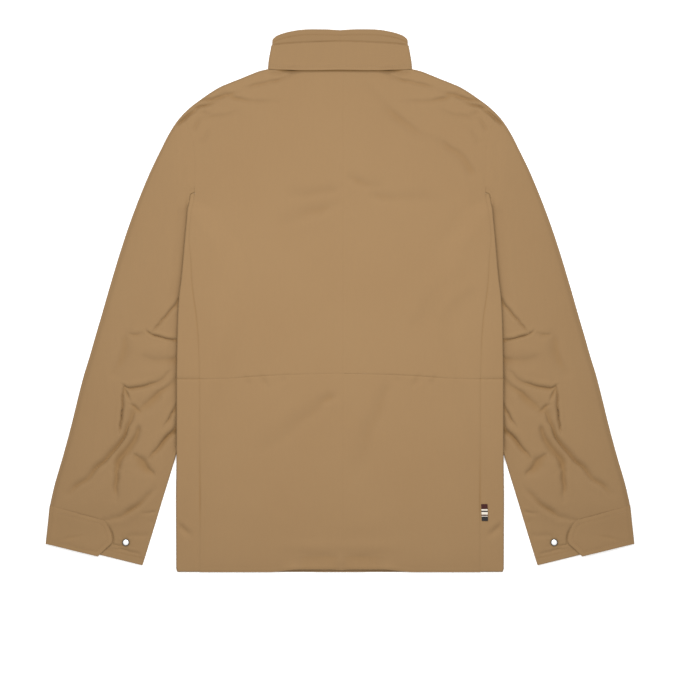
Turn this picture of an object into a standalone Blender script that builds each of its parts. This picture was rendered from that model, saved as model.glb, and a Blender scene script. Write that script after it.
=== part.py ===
"""Field jacket laid flat on its front, back side up.

The jacket lies on the plane z = 0.  X runs across the jacket, Y from the hem
towards the collar, Z up through the layers.  The origin is under the middle of
the jacket, on the surface it lies on.  All tables are in millimetres; a table
row is one station of an outline, one section or one fold.

Layers from the surface up: sleeve (lower and upper layer), front, back.  Down
to the underarm the sleeves lie beside the body; below it the sides of the body
lie over the inner edge of each sleeve, so the front and back rise there by
LIFT and come down again towards the middle and the hem.
"""
import bpy
import math
import numpy as np

# ---------------------------------------------------------------- sizes (mm)
CLOTH = 1.2            # wall of the cloth: shell and lining together
COLLAR_CLOTH = 2.0     # wall of the stiffened collar strip
LABEL_CLOTH = 1.0      # wall of the woven label
GAP = 0.3              # clearance between pieces at a seam or one on another
LAYERS = 3.6           # front to back of a doubled panel, mid wall to mid wall
COLLAR_LAYERS = 3.2    # front to back of the collar, mid wall to mid wall
LIFT = 5.3             # rise of the body where a sleeve lies under it
RAMP = 44.0            # width over which the body comes down from that rise
FLY_HALF = 27.0        # half width of the strip over the closed front
FLY_RISE = 1.5         # rise of the fronts over that strip
PINCH = 1.05           # front and back close on each other at the shoulders
CENTRE_SEAM_X = 4.5    # the centre-back seam lies a little to one side
HEM_Y = -406.8         # bottom edge
FOLD_STEPS = 3         # facets round a folded edge
SNAP_D, SNAP_H = 10.5, 2.4        # snap: rim diameter, height
SNAP_AT = (321.2, -362.8)         # snap on the cuff (x from the middle, y)

TAN = (0.42, 0.27, 0.13, 1.0)
METAL = (0.82, 0.82, 0.80, 1.0)

# shoulder line from the neck point to the sleeve head: x, y
SHOULDER = [(105.8, 346.8), (120.0, 343.5), (135.0, 339.5), (150.0, 333.8),
            (165.0, 327.8), (180.0, 321.5), (190.5, 316.0), (207.0, 303.8),
            (222.8, 291.8), (236.2, 280.5)]
# armhole from the shoulder down: x, y
ARMHOLE = [(236.2, 280.5), (231.9, 271.5), (225.9, 254.2), (220.5, 234.8),
           (217.8, 210.8), (217.5, 185.2), (218.4, 161.2)]
# side fold of the body: y, x
SIDE_EDGE = [(156.8, 224.4), (146.2, 224.5), (137.2, 226.4), (129.8, 228.0),
             (119.2, 229.5), (104.2, 231.3), (87.8, 233.1), (62.2, 235.2),
             (33.8, 237.9), (3.8, 241.5), (-26.2, 243.3), (-60.8, 244.2),
             (-117.8, 245.0), (-236.2, 245.2), (-306.8, 246.0), (-406.8, 246.0)]
# side-back seam, where front panel meets back panel: y, x
SIDE_BACK = [(161.2, 218.4), (146.2, 220.2), (137.2, 221.9), (129.8, 223.2),
             (119.2, 224.7), (104.2, 226.2), (90.8, 226.4), (62.2, 223.8),
             (33.8, 222.6), (3.8, 219.3), (-26.2, 215.1), (-60.8, 212.4),
             (-117.8, 210.6), (-161.2, 210.3), (-406.8, 210.0)]
# waist seam: x, y
WAIST = [(0.0, -109.3), (75.0, -111.2), (133.5, -114.5), (165.0, -116.8),
         (210.0, -117.8), (245.2, -117.8)]
# where the body has reached its full rise over a sleeve: y, x
RISE_FULL = [(161.2, 285.0), (156.8, 277.5), (146.2, 264.0), (137.2, 244.5),
             (129.8, 225.0), (119.2, 216.0), (104.2, 205.5), (87.8, 193.5),
             (62.2, 181.0), (33.8, 173.5), (3.8, 172.0), (-26.2, 174.5),
             (-60.8, 182.5), (-149.2, 209.4), (-236.2, 237.0), (-299.2, 257.1),
             (-359.2, 276.0), (-406.8, 291.0)]
# rows of the body: y in the middle of the back, of the front, at the side
UPPER_ROWS = [  # row, back_y, front_y, side_y
    ("shoulder", 350.1, 294.8, 280.5),
    ("shoulder_in", 341.0, 285.0, 271.5),
    ("blade_1", 318.0, 270.0, 254.2),
    ("blade_2", 288.0, 248.0, 234.8),
    ("blade_3", 252.0, 220.0, 210.8),
    ("blade_4", 212.0, 190.0, 185.2),
    ("underarm", 170.0, 164.0, 161.2),
    ("side_top", 161.0, 157.8, 156.8),
    ("side_1", 147.5, 147.0, 146.2),
    ("side_2", 137.6, 137.4, 137.2),
    ("side_3", 129.8, 129.8, 129.8),
    ("side_4", 119.2, 119.2, 119.2),
    ("side_5", 104.2, 104.2, 104.2),
    ("side_6", 87.8, 87.8, 87.8),
    ("side_7", 62.2, 62.2, 62.2),
    ("side_8", 33.8, 33.8, 33.8),
    ("side_9", 3.8, 3.8, 3.8),
    ("side_10", -26.2, -26.2, -26.2),
    ("side_11", -60.8, -60.8, -60.8),
]
SKIRT_ROWS = (-149.2, -192.0, -236.2, -269.0, -306.8, -355.0)   # y, then the hem
# columns of the back: fraction of the row, rise of the shoulder line there
BACK_COLS = (0.0, 0.145, 0.30, 0.448, 0.572, 0.70, 0.81, 0.91, 1.0)
# front neckline: x, y
NECK_FRONT = [(0.0, 294.8), (30.0, 297.5), (45.0, 301.4), (67.5, 311.0),
              (90.0, 327.8), (104.0, 345.6)]
NECK_BACK_Y = 347.4    # neck seam across the back, under the flap

# collar strip, one row a station from the centre back to the centre front:
# place, x and y on the neck seam, x and y on the top edge
COLLAR_BACK = [(0.0, 347.4, 0.0, 405.3), (21.0, 347.4, 20.0, 406.4),
               (42.0, 347.4, 40.0, 406.7), (63.0, 347.4, 60.0, 405.6),
               (84.0, 347.3, 79.0, 402.0), (95.0, 347.2, 91.0, 398.0)]
COLLAR_SIDE = (107.1, 347.6, 101.6, 388.5)
COLLAR_FRONT = [(90.0, 327.8, 85.5, 373.5), (67.5, 311.0, 67.5, 363.0),
                (45.0, 301.4, 45.0, 356.2), (30.0, 297.5, 30.0, 353.5),
                (0.0, 294.8, 0.0, 351.8)]
# side of the collar, which leans out towards the neck: fraction up, x
COLLAR_LEAN = [(0.0, 107.1), (0.33, 105.4), (0.66, 102.2), (1.0, 101.6)]
COLLAR_UP = (0.0, 0.33, 0.66, 1.0)
# flap on the collar: x, y of its sewn top line; x, y of its outer side
FLAP_LINE = [(0.0, 388.8), (51.0, 387.3), (90.0, 384.7), (104.0, 383.0)]
FLAP_SIDE = [(383.0, 103.6), (375.8, 105.0), (366.8, 106.8), (357.8, 108.2),
             (350.2, 109.2), (345.3, 109.0)]
# free lower edge of the flap: x, y
FLAP_LOW = [(0.0, 345.3), (90.0, 345.4), (101.0, 347.4), (109.0, 348.0)]

# sleeve sections, shoulder to cuff: outer x, outer y, inner x, inner y
SLEEVE = [
    (236.2, 280.5, 219.1, 161.7),
    (242.2, 273.0, 225.9, 158.6),
    (249.0, 264.0, 227.4, 146.2),
    (258.0, 249.0, 230.3, 131.2),
    (270.0, 225.8, 225.0, 117.2),
    (285.0, 195.0, 214.5, 103.0),
    (303.0, 150.8, 201.0, 86.8),
    (316.5, 113.2, 188.5, 61.0),
    (330.5, 72.8, 181.0, 32.2),
    (344.2, 25.5, 180.5, -5.2),
    (357.8, -21.8, 189.0, -56.2),
    (367.5, -54.8, 198.0, -89.2),
    (376.2, -83.2, 207.8, -120.0),
    (384.8, -113.2, 218.2, -153.0),
    (393.0, -144.8, 228.0, -183.8),
    (402.8, -183.0, 240.8, -223.5),
    (415.5, -230.2, 254.2, -265.5),
    (428.0, -275.2, 267.9, -308.2),
    (434.4, -311.2, 279.0, -342.8),
    (439.8, -360.8, 296.7, -397.1),
]
# largest folds of the sleeve, pressed troughs between two points:
# x1, y1, x2, y2, half width, depth
SLEEVE_FOLDS = [
    (322.0, -129.0, 250.0, -110.0, 14.0, 1.5),    # across the elbow, upper
    (304.0, -172.0, 358.0, -243.0, 14.0, 1.5),    # elbow down to the outer edge
    (303.0, -192.0, 334.0, -242.0, 12.0, 1.3),    # beside it, to the cuff
    (246.0, -194.0, 279.0, -226.0, 12.0, 1.3),    # from the side of the body
    (291.0, -47.0, 246.0, -59.0, 13.0, 1.2),      # above the elbow
]
# cuff tab: fraction down from its top edge, x and y of its end
TAB_START = (435.7, -307.5, 441.9, -364.9)        # top and bottom at the outer fold
TAB_END = [(0.0, 354.8, -329.2), (0.2, 348.3, -337.6), (0.4, 343.5, -349.1),
           (0.58, 341.6, -359.8), (0.73, 346.0, -367.6), (1.0, 363.0, -383.2)]
TAB_LENGTHS = (0.0, 0.3, 0.6, 0.82, 1.0)
# woven label on the right: x at the seam, x outer, y top, y bottom
LABEL = (211.2, 222.0, -305.0, -330.2)

MM = 0.001


# ------------------------------------------------------------------ helpers
def along(table, key, value, column):
    """Straight interpolation in a table of rows, either way up."""
    rows = sorted(table, key=lambda r: r[key])
    return float(np.interp(value, [r[key] for r in rows], [r[column] for r in rows]))


def smooth(t):
    t = min(1.0, max(0.0, t))
    return t * t * (3.0 - 2.0 * t)


def material(name, colour, rough, metallic=0.0):
    mat = bpy.data.materials.new(name)
    mat.use_nodes = True
    shader = mat.node_tree.nodes["Principled BSDF"]
    shader.inputs["Base Color"].default_value = colour
    shader.inputs["Roughness"].default_value = rough
    shader.inputs["Metallic"].default_value = metallic
    mat.diffuse_color = colour
    return mat


def sheet(name, grid, wall=CLOTH, colour=TAN, closed=False, metallic=0.0, rough=0.85):
    """One cut piece: an open surface through a grid of points, given a wall.

    grid is a list of rows of (x, y, z); None leaves that place out.  closed
    joins the last column to the first, which makes a tube open at both ends.
    """
    index, verts, faces = {}, [], []
    for i, row in enumerate(grid):
        for j, p in enumerate(row):
            if p is not None:
                index[i, j] = len(verts)
                verts.append([c * MM for c in p])
    columns = len(grid[0])
    for i in range(len(grid) - 1):
        for j in range(columns if closed else columns - 1):
            k = (j + 1) % columns
            corner = [(i, j), (i, k), (i + 1, k), (i + 1, j)]
            if all(c in index for c in corner):
                faces.append([index[c] for c in corner])
    mesh = bpy.data.meshes.new(name)
    mesh.from_pydata(verts, [], faces)
    mesh.update()
    obj = bpy.data.objects.new(name, mesh)
    jacket.objects.link(obj)
    obj.data.materials.append(material("mat_" + name, colour, rough, metallic))
    wall_mod = obj.modifiers.new("wall", "SOLIDIFY")
    wall_mod.thickness = wall * MM
    wall_mod.offset = 0.0
    wall_mod.use_even_offset = True
    wall_mod.use_quality_normals = True
    return obj


def flip(points):
    return [[None if p is None else (-p[0], p[1], p[2]) for p in row] for row in points]


# -------------------------------------------------------- heights of the body
def rise(x, y):
    """How far the front panel stands up over the sleeve that lies under it."""
    full = along(RISE_FULL, 0, y, 1)
    return LIFT * smooth((x - (full - RAMP)) / RAMP)


def front_z(x, y, on_fly=True):
    z = CLOTH / 2 + rise(x, y)
    if on_fly and y < 300.0:
        z += FLY_RISE * smooth((46.0 - x) / 15.0)
    return z


def back_z(x, y):
    return CLOTH / 2 + LAYERS + rise(x, y)


def shoulder_shape(fraction):
    """How far down the shoulder line has come at a fraction of its width."""
    x = fraction * 236.2
    if x <= 104.0:
        return 0.0
    y = along(SHOULDER, 0, x, 1)
    return (350.1 - y) / (350.1 - 280.5)


def front_shape(x):
    """Edge of the front: the neckline, then the shoulder line."""
    if x <= 104.0:
        return along(NECK_FRONT, 0, x, 1)
    return along(SHOULDER, 0, x, 1)


def side_x(y):
    return along(SIDE_EDGE, 0, y, 1)


def fold_start(y):
    """x where a flat layer turns into the side fold."""
    return side_x(y) - CLOTH / 2 - LAYERS / 2


# ------------------------------------------------------------- back panels
def back_upper(sign):
    grid = []
    flat = [0.0, 0.0, 0.25, 0.5, 0.75, 0.92, 1.0]
    rows = [r for r in UPPER_ROWS if r[0] != "side_top"]
    for i, (name, y_mid, _, y_side) in enumerate(rows):
        w = flat[i] if i < len(flat) else 1.0
        reach = (along(ARMHOLE, 1, y_side, 0) if y_side >= 161.0
                 else along(SIDE_BACK, 0, y_side, 1)) - GAP / 2
        row = []
        for u in BACK_COLS:
            x = u * reach
            shape = (1 - w) * shoulder_shape(u) + w * u * u
            y = y_mid + (y_side - y_mid) * shape
            if i == 0:
                y = NECK_BACK_Y - GAP / 2 if u < 0.45 else along(SHOULDER, 0, x, 1)
            z = back_z(x, y)
            if i == 0 and u > 0.46:
                z -= PINCH
            if i == 1 and u < 0.46:
                y = NECK_BACK_Y - 9.0
            row.append((x, y, z))
        grid.append(row)
    grid.append([(u * (210.6 - GAP / 2), along(WAIST, 0, u * 210.6, 1) + GAP / 2, 0)
                 for u in BACK_COLS])
    grid[-1] = [(x, y, back_z(x, y)) for x, y, _ in grid[-1]]
    return centre_seam(grid, sign)


def back_skirt(sign):
    grid = [[(u * (210.6 - GAP / 2), along(WAIST, 0, u * 210.6, 1) - GAP / 2)
             for u in BACK_COLS]]
    for y in SKIRT_ROWS + (HEM_Y,):
        reach = along(SIDE_BACK, 0, y, 1) - GAP / 2
        grid.append([(u * reach, y) for u in BACK_COLS])
    return centre_seam([[(x, y, back_z(x, y)) for x, y in row] for row in grid], sign)


def centre_seam(grid, sign):
    """Mirror a half back and draw its inner edge to the centre-back seam."""
    out = []
    for row in grid:
        new = []
        for u, (x, y, z) in zip(BACK_COLS, row):
            near = max(0.0, 1.0 - u / 0.30)
            new.append((sign * x + near * (CENTRE_SEAM_X + sign * GAP / 2), y, z))
        out.append(new)
    return out


# ------------------------------------------------------------ front panels
def front_columns(y, reach):
    """x of the columns of a front row: close together over the rise."""
    even = [0.0, 30.0, 45.0, 67.5, 90.0, 104.0, 140.0, 180.0, 212.0, 236.2]
    even = even[:3] + [45.0 + (v - 45.0) * (reach - 45.0) / (236.2 - 45.0) for v in even[3:]]
    full = min(along(RISE_FULL, 0, y, 1), reach - 4.0)
    start = full - RAMP
    ramp = [0.0, 30.0, 45.0, 45.0 + (start - 45.0) * 0.5, start, full - 0.72 * RAMP,
            full - 0.45 * RAMP, full - 0.2 * RAMP, full, reach]
    w = smooth((161.2 - y) / 35.0)
    return [(1 - w) * a + w * b for a, b in zip(even, ramp)]


def side_fold(y_of, y_fold, y_seam):
    """The points from the end of the front layer round the side to the seam."""
    pts = []
    start = fold_start(y_fold)
    r = LAYERS / 2
    base = CLOTH / 2 + rise(start, y_fold)
    for k in range(1, FOLD_STEPS + 1):
        a = -math.pi / 2 + math.pi * k / FOLD_STEPS
        y = y_of(k / FOLD_STEPS)
        pts.append((start + r * math.cos(a), y, base + r + r * math.sin(a)))
    seam = along(SIDE_BACK, 0, y_seam, 1) + GAP / 2
    mid = (start + seam) / 2
    y_mid = (y_of(1.0) + y_seam) / 2
    pts.append((mid, y_mid, back_z(mid, y_mid)))
    pts.append((seam, y_seam, back_z(seam, y_seam)))
    return pts


def front_row(y_mid, y_side, reach, top=False, nudge=0.0):
    cols = front_columns(y_side, reach)
    row = []
    for x in cols:
        x = max(x, GAP / 2)
        y = y_mid + (y_side - y_mid) * (x / reach) ** 2 + nudge
        row.append((x, y, front_z(x, y)))
    return row


def front_upper():
    grid = []
    empty = [None] * (FOLD_STEPS + 2)
    follow = [1.0, 1.0, 0.75, 0.5, 0.25, 0.1]
    for i, (name, _, y_mid, y_side) in enumerate(UPPER_ROWS):
        if name == "side_top":
            # first row of the side fold; its seam end is the underarm corner
            reach = fold_start(y_side)
            row = front_row(y_mid, y_side, reach)
            fold = side_fold(lambda t: 156.8 + 1.2 * t, y_side, 161.0)
            grid.append(row + fold)
            continue
        if y_side >= 161.0:
            reach = along(ARMHOLE, 1, y_side, 0) - GAP / 2
            w = follow[i] if i < len(follow) else 0.0
            row = []
            for x in front_columns(y_side, reach):
                x = max(x, GAP / 2)
                flat = y_mid + (y_side - y_mid) * (x / reach) ** 2
                edge = front_shape(x * 236.2 / (reach + GAP / 2)) - (294.8 - y_mid) * (1 - x / reach) \
                    - (280.5 - y_side) * (x / reach)
                y = w * edge + (1 - w) * flat
                if i == 0:
                    y = front_shape(x) - (GAP / 2 if x < 104.5 else 0.0)
                z = front_z(x, y)
                if i == 0 and x > 103.0:
                    z += PINCH
                row.append((x, y, z))
            grid.append(row + empty)
        else:
            reach = fold_start(y_side)
            row = front_row(y_mid, y_side, reach)
            grid.append(row + side_fold(lambda t: y_side, y_side, y_side))
    grid.append(waist_row(GAP / 2))
    return grid


def waist_row(nudge):
    reach = fold_start(-117.8)
    row = []
    for x in front_columns(-117.8, reach):
        x = max(x, GAP / 2)
        y = along(WAIST, 0, x, 1) + nudge
        row.append((x, y, front_z(x, y)))
    y = -117.8 + nudge
    fold = side_fold(lambda t: y, y, y)
    return row + fold


def front_skirt():
    grid = [waist_row(-GAP / 2)]
    for y in SKIRT_ROWS + (HEM_Y,):
        reach = fold_start(y)
        grid.append(front_row(y, y, reach) + side_fold(lambda t: y, y, y))
    return grid


def fly_flap():
    z = CLOTH / 2
    stations = np.linspace(294.0, HEM_Y, 5)
    return [[(x, y, z) for x in (-FLY_HALF, 0.0, FLY_HALF)] for y in stations]


# ----------------------------------------------------------------- sleeves
def fold_depth(x, y):
    """Depth of the pressed folds of the sleeve at a point."""
    depth = 0.0
    for x1, y1, x2, y2, half, deep in SLEEVE_FOLDS:
        dx, dy = x2 - x1, y2 - y1
        t = ((x - x1) * dx + (y - y1) * dy) / (dx * dx + dy * dy)
        s = min(1.0, max(0.0, t))
        d = math.hypot(x - x1 - s * dx, y - y1 - s * dy)
        depth = max(depth, deep * smooth(1.0 - d / half))
    return depth


def sleeve():
    """Flattened rings from the armhole to the cuff, one a row of SLEEVE."""
    arm = [np.array(p) for p in ARMHOLE]
    lengths = [0.0]
    for a, b in zip(arm, arm[1:]):
        lengths.append(lengths[-1] + np.linalg.norm(b - a))
    fractions = [v / lengths[-1] for v in lengths]          # 0 .. 1, seven places
    r = LAYERS / 2
    edge = r + CLOTH / 2
    grid = []
    for i, (ox, oy, ix, iy) in enumerate(SLEEVE):
        o, n = np.array((ox, oy)), np.array((ix, iy))
        chord = np.linalg.norm(n - o)
        bend = max(0.0, 1.0 - i / 3.0)                      # the armhole's curve dies out

        def plan(s):
            """Point of the section line at a distance s from its outer end."""
            t = s / chord
            base = o + (n - o) * t
            if bend:
                a = np.array((np.interp(t, fractions, [p[0] for p in arm]),
                              np.interp(t, fractions, [p[1] for p in arm])))
                straight = arm[0] + (arm[-1] - arm[0]) * t
                base = base + bend * (a - straight)
            if i == 0:
                base = base + np.array((GAP / 2 + 0.05, 0.0))
            return base

        def layer(fraction):
            return edge + (chord - 2 * edge) * fraction

        inner = [layer(f) for f in fractions[1:-1]]
        if i == 0:                                          # meet the body's own rows
            inner = [f * chord for f in fractions[1:-1]]
        ring = []
        z_low = CLOTH / 2
        for k in range(FOLD_STEPS + 1):                     # outer fold, low to high
            a = math.pi * k / FOLD_STEPS
            s = edge - r * math.sin(a)
            p = plan(s)
            ring.append((p[0], p[1], z_low + r - r * math.cos(a)))
        for s in inner:                                     # upper layer
            p = plan(s)
            deep = fold_depth(p[0], p[1]) if i > 5 else 0.0
            ring.append((p[0], p[1], z_low + LAYERS - deep))
        for k in range(FOLD_STEPS + 1):                     # inner fold, high to low
            a = math.pi * k / FOLD_STEPS
            s = chord - edge + r * math.sin(a)
            p = plan(s)
            ring.append((p[0], p[1], z_low + r + r * math.cos(a)))
        for s in reversed(inner):                           # lower layer
            p = plan(s)
            ring.append((p[0], p[1], z_low))
        grid.append(ring)
    return grid


def cuff_tab():
    """Tab over the cuff, from the sleeve's outer fold to its rounded end."""
    lift = CLOTH + GAP                                      # from the sleeve's mid wall
    r = LAYERS / 2 + lift
    z_mid = CLOTH / 2 + LAYERS / 2
    x1, y1, x2, y2 = TAB_START
    grid = []
    for v, ex, ey in TAB_END:
        sx, sy = x1 + (x2 - x1) * v, y1 + (y2 - y1) * v
        cx = sx - r - CLOTH / 2                             # centre of the outer fold
        row = []
        for a in (0.0, 30.0, 60.0, 90.0):
            t = math.radians(a)
            row.append((cx + r * math.cos(t), sy, z_mid + r * math.sin(t)))
        for u in TAB_LENGTHS[1:]:
            row.append((cx + (ex - cx) * u, sy + (ey - sy) * u, z_mid + r))
        grid.append(row)
    return grid


# ------------------------------------------------------------------ collar
def collar_stand():
    r = COLLAR_LAYERS / 2
    low = COLLAR_CLOTH / 2
    high = CLOTH / 2 + LAYERS

    def column(bx, by, tx, ty, z_bottom, z_top):
        pts = []
        for f in COLLAR_UP:
            pts.append((bx + (tx - bx) * f, by + (ty - by) * f + (GAP / 2 if f == 0.0 else 0.0),
                        z_bottom + (z_top - z_bottom) * f))
        return pts

    half = []
    for bx, by, tx, ty in COLLAR_BACK:
        half.append(column(bx, by, tx, ty, high, high))
    bx, by, tx, ty = COLLAR_SIDE
    for k in range(FOLD_STEPS + 1):                        # round the side, high to low
        a = math.pi / 2 - math.pi * k / FOLD_STEPS
        pts = []
        for f in COLLAR_UP:
            x = along(COLLAR_LEAN, 0, f, 1) - COLLAR_CLOTH / 2 - r
            y = by + (ty - by) * f + (GAP / 2 if f == 0.0 else 0.0)
            z_c = (low + high) / 2
            pts.append((x + r * math.cos(a), y, z_c + (high - low) / 2 * math.sin(a)))
        half.append(pts)
    for bx, by, tx, ty in COLLAR_FRONT:
        half.append(column(max(bx, GAP / 2), by, max(tx, GAP / 2), ty, low, low))
    left = [[(-x, y, z) for x, y, z in col] for col in reversed(half[1:])]
    columns = left + half
    return [list(row) for row in zip(*columns)]


def collar_flap():
    lift = COLLAR_CLOTH / 2 + GAP + CLOTH / 2
    low = COLLAR_CLOTH / 2
    high = CLOTH / 2 + LAYERS
    z_c = (low + high) / 2
    r_x = COLLAR_LAYERS / 2 + lift
    r_z = (high - low) / 2 + lift
    columns = []
    for u in (0.0, 0.2, 0.4, 0.6, 0.8, 0.92):
        pts = []
        for v in (0.0, 0.33, 0.67, 1.0):
            y_top = along(FLAP_LINE, 0, u * 104.0, 1)
            y = y_top + (along(FLAP_LOW, 0, u * 104.0, 1) - y_top) * v
            start = along(FLAP_SIDE, 0, y, 1) - CLOTH / 2 - r_x
            pts.append((start * u, y, z_c + r_z))
        columns.append(pts)
    for a in (90.0, 60.0, 30.0, 0.0):
        t = math.radians(a)
        pts = []
        for v in (0.0, 0.33, 0.67, 1.0):
            y = 383.2 + (along(FLAP_LOW, 0, 104.0 + 5.0 * math.cos(t), 1) - 383.2) * v
            start = along(FLAP_SIDE, 0, y, 1) - CLOTH / 2 - r_x
            pts.append((start + r_x * math.cos(t), y, z_c + r_z * math.sin(t)))
        columns.append(pts)
    left = [[(-x, y, z) for x, y, z in col] for col in reversed(columns[1:])]
    return [list(row) for row in zip(*(left + columns))]


# ---------------------------------------------------------- snaps and label
def snap(name, sign):
    """A turned cap with a raised rim, resting on the sleeve's upper layer."""
    r = SNAP_D / 2
    profile = [(r, 0.0), (r, 0.9), (r * 0.86, 1.5), (r * 0.74, 1.3),
               (r * 0.66, 1.6), (r * 0.40, SNAP_H - 0.15), (0.0, SNAP_H)]
    verts = [(0.0, 0.0)] + profile
    mesh = bpy.data.meshes.new(name)
    mesh.from_pydata([(x * MM, 0.0, z * MM) for x, z in reversed(verts)],
                     [(k, k + 1) for k in range(len(verts) - 1)], [])
    obj = bpy.data.objects.new(name, mesh)
    jacket.objects.link(obj)
    obj.data.materials.append(material("mat_" + name, METAL, 0.3, 1.0))
    turn = obj.modifiers.new("turn", "SCREW")
    turn.axis = "Z"
    turn.steps = turn.render_steps = 20
    turn.use_merge_vertices = True
    turn.merge_threshold = 0.00005
    turn.use_smooth_shade = True
    obj.location = (sign * SNAP_AT[0] * MM, SNAP_AT[1] * MM,
                    (CLOTH + LAYERS + GAP) * MM)
    return obj


def label_tab():
    x1, x2, y1, y2 = LABEL
    up = CLOTH / 2 + 2 * GAP + LABEL_CLOTH / 2
    return [[(x, y, back_z(x, y) + up) for x in np.linspace(x1, x2, 4)]
            for y in np.linspace(y1, y2, 3)]


# ------------------------------------------------------------------- build
for old in list(bpy.data.objects):
    bpy.data.objects.remove(old, do_unlink=True)

jacket = bpy.data.collections.new("field_jacket")
bpy.context.scene.collection.children.link(jacket)

for side, sign in (("left", -1), ("right", 1)):
    sheet("back_upper_" + side, back_upper(sign))
    sheet("back_skirt_" + side, back_skirt(sign))
    front = front_upper()
    skirt = front_skirt()
    arm = sleeve()
    tab = cuff_tab()
    if sign < 0:
        front, skirt, arm, tab = flip(front), flip(skirt), flip(arm), flip(tab)
    sheet("front_upper_" + side, front)
    sheet("front_skirt_" + side, skirt)
    sheet("sleeve_" + side, arm, closed=True)
    sheet("cuff_tab_" + side, tab)
    snap("snap_" + side, sign)
sheet("fly_flap", fly_flap())
sheet("collar_stand", collar_stand(), wall=COLLAR_CLOTH)
sheet("collar_flap", collar_flap())
sheet("label_tab", label_tab(), wall=LABEL_CLOTH, colour=(0.25, 0.10, 0.07, 1.0))
bpy.context.view_layer.update()
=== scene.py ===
"""Looks of the field jacket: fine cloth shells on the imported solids.

All sizes below are in millimetres until a mesh is made.  X runs across the
jacket, Y from the hem to the collar, Z up out of its back.  Tables hold the
right-hand half (x > 0); the left half mirrors them, apart from the tables
that say "whole back".
"""

import math
import bpy
import numpy as np
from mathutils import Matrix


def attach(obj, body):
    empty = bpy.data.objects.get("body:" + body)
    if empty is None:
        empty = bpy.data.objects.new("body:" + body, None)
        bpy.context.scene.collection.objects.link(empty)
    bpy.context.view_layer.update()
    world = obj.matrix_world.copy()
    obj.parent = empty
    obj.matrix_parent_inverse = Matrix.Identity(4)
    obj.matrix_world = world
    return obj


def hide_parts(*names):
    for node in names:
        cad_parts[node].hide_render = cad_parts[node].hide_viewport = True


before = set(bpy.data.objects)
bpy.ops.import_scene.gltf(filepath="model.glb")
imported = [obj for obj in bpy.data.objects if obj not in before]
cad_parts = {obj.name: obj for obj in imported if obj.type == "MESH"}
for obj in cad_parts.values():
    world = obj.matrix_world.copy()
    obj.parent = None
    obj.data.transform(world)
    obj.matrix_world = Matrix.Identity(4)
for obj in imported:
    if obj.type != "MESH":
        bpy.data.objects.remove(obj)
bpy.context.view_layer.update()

MM = 0.001

# ------------------------------------------------------------------ sizes
WALL = 1.0             # cloth wall
LOW = 0.5              # mid wall of a layer on the surface
HIGH = 4.3             # mid wall of the layer that covers it
FOLD_R = (HIGH - LOW) / 2
EDGE = WALL / 2 + FOLD_R     # outline to the centre of a side fold
SLIT = 0.02            # clearance between two panels at a seam
LIFT = 5.3             # rise of the body over a sleeve
RAMP = 44.0
FLY_HALF = 27.0
FLY_RISE = 1.5
CENTRE_SEAM_X = 4.5
HEM_Y = -406.8
SNAP_AT = (321.2, -362.8)
HEM_TURN = 19.0        # depth of the turned hem
BODY_LOFT = 2.4        # how far the back stands up off its plain layer
SLEEVE_LOFT = 3.6      # the same on the upper side of a sleeve

# ---------------------------------------------------------------- outlines
# shoulder line: x, y
SHOULDER = [(105.8, 347.8), (120.0, 344.6), (135.0, 339.0), (150.0, 332.8),
            (165.0, 326.9), (180.0, 320.5), (190.5, 314.4), (207.0, 303.1),
            (222.8, 291.4), (234.7, 280.5)]
# armhole: x, y
ARMHOLE = [(234.7, 280.5), (231.9, 271.5), (225.9, 254.2), (220.5, 234.8),
           (217.8, 210.8), (217.5, 185.2), (218.4, 161.2)]
# side fold of the body: y, x
SIDE_EDGE = [(156.8, 225.4), (146.2, 226.9), (137.2, 228.6), (129.8, 229.4),
             (119.2, 230.2), (104.2, 231.6), (87.8, 233.1), (62.2, 235.2),
             (33.8, 237.9), (3.8, 241.5), (-26.2, 243.3), (-60.8, 244.2),
             (-117.8, 245.0), (-236.2, 245.2), (-306.8, 246.0), (-406.8, 246.0)]
# side-back seam: y, x
SIDE_BACK = [(161.2, 218.4), (146.2, 220.2), (137.2, 221.9), (129.8, 223.2),
             (119.2, 224.7), (104.2, 226.2), (90.8, 226.4), (62.2, 223.8),
             (33.8, 222.6), (3.8, 219.3), (-26.2, 215.1), (-60.8, 212.4),
             (-117.8, 210.6), (-161.2, 210.3), (-406.8, 210.0)]
# waist seam: x, y
WAIST = [(0.0, -109.3), (75.0, -111.2), (133.5, -114.5), (165.0, -116.8),
         (210.0, -117.8), (246.0, -117.8)]
# where the body has its full rise over a sleeve: y, x
RISE_FULL = [(161.2, 280.0), (156.8, 270.0), (146.2, 250.0), (137.2, 230.0),
             (129.8, 222.0), (119.2, 215.0), (104.2, 205.5), (87.8, 193.5),
             (62.2, 181.0), (33.8, 173.5), (3.8, 172.0), (-26.2, 174.5),
             (-60.8, 182.5), (-149.2, 209.4), (-236.2, 237.0), (-299.2, 257.1),
             (-359.2, 276.0), (-406.8, 291.0)]
# front neckline: x, y
NECK_FRONT = [(0.0, 294.8), (30.0, 297.5), (45.0, 301.4), (67.5, 311.0),
              (90.0, 327.8), (104.0, 345.6)]
NECK_BACK_Y = 347.4
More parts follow.
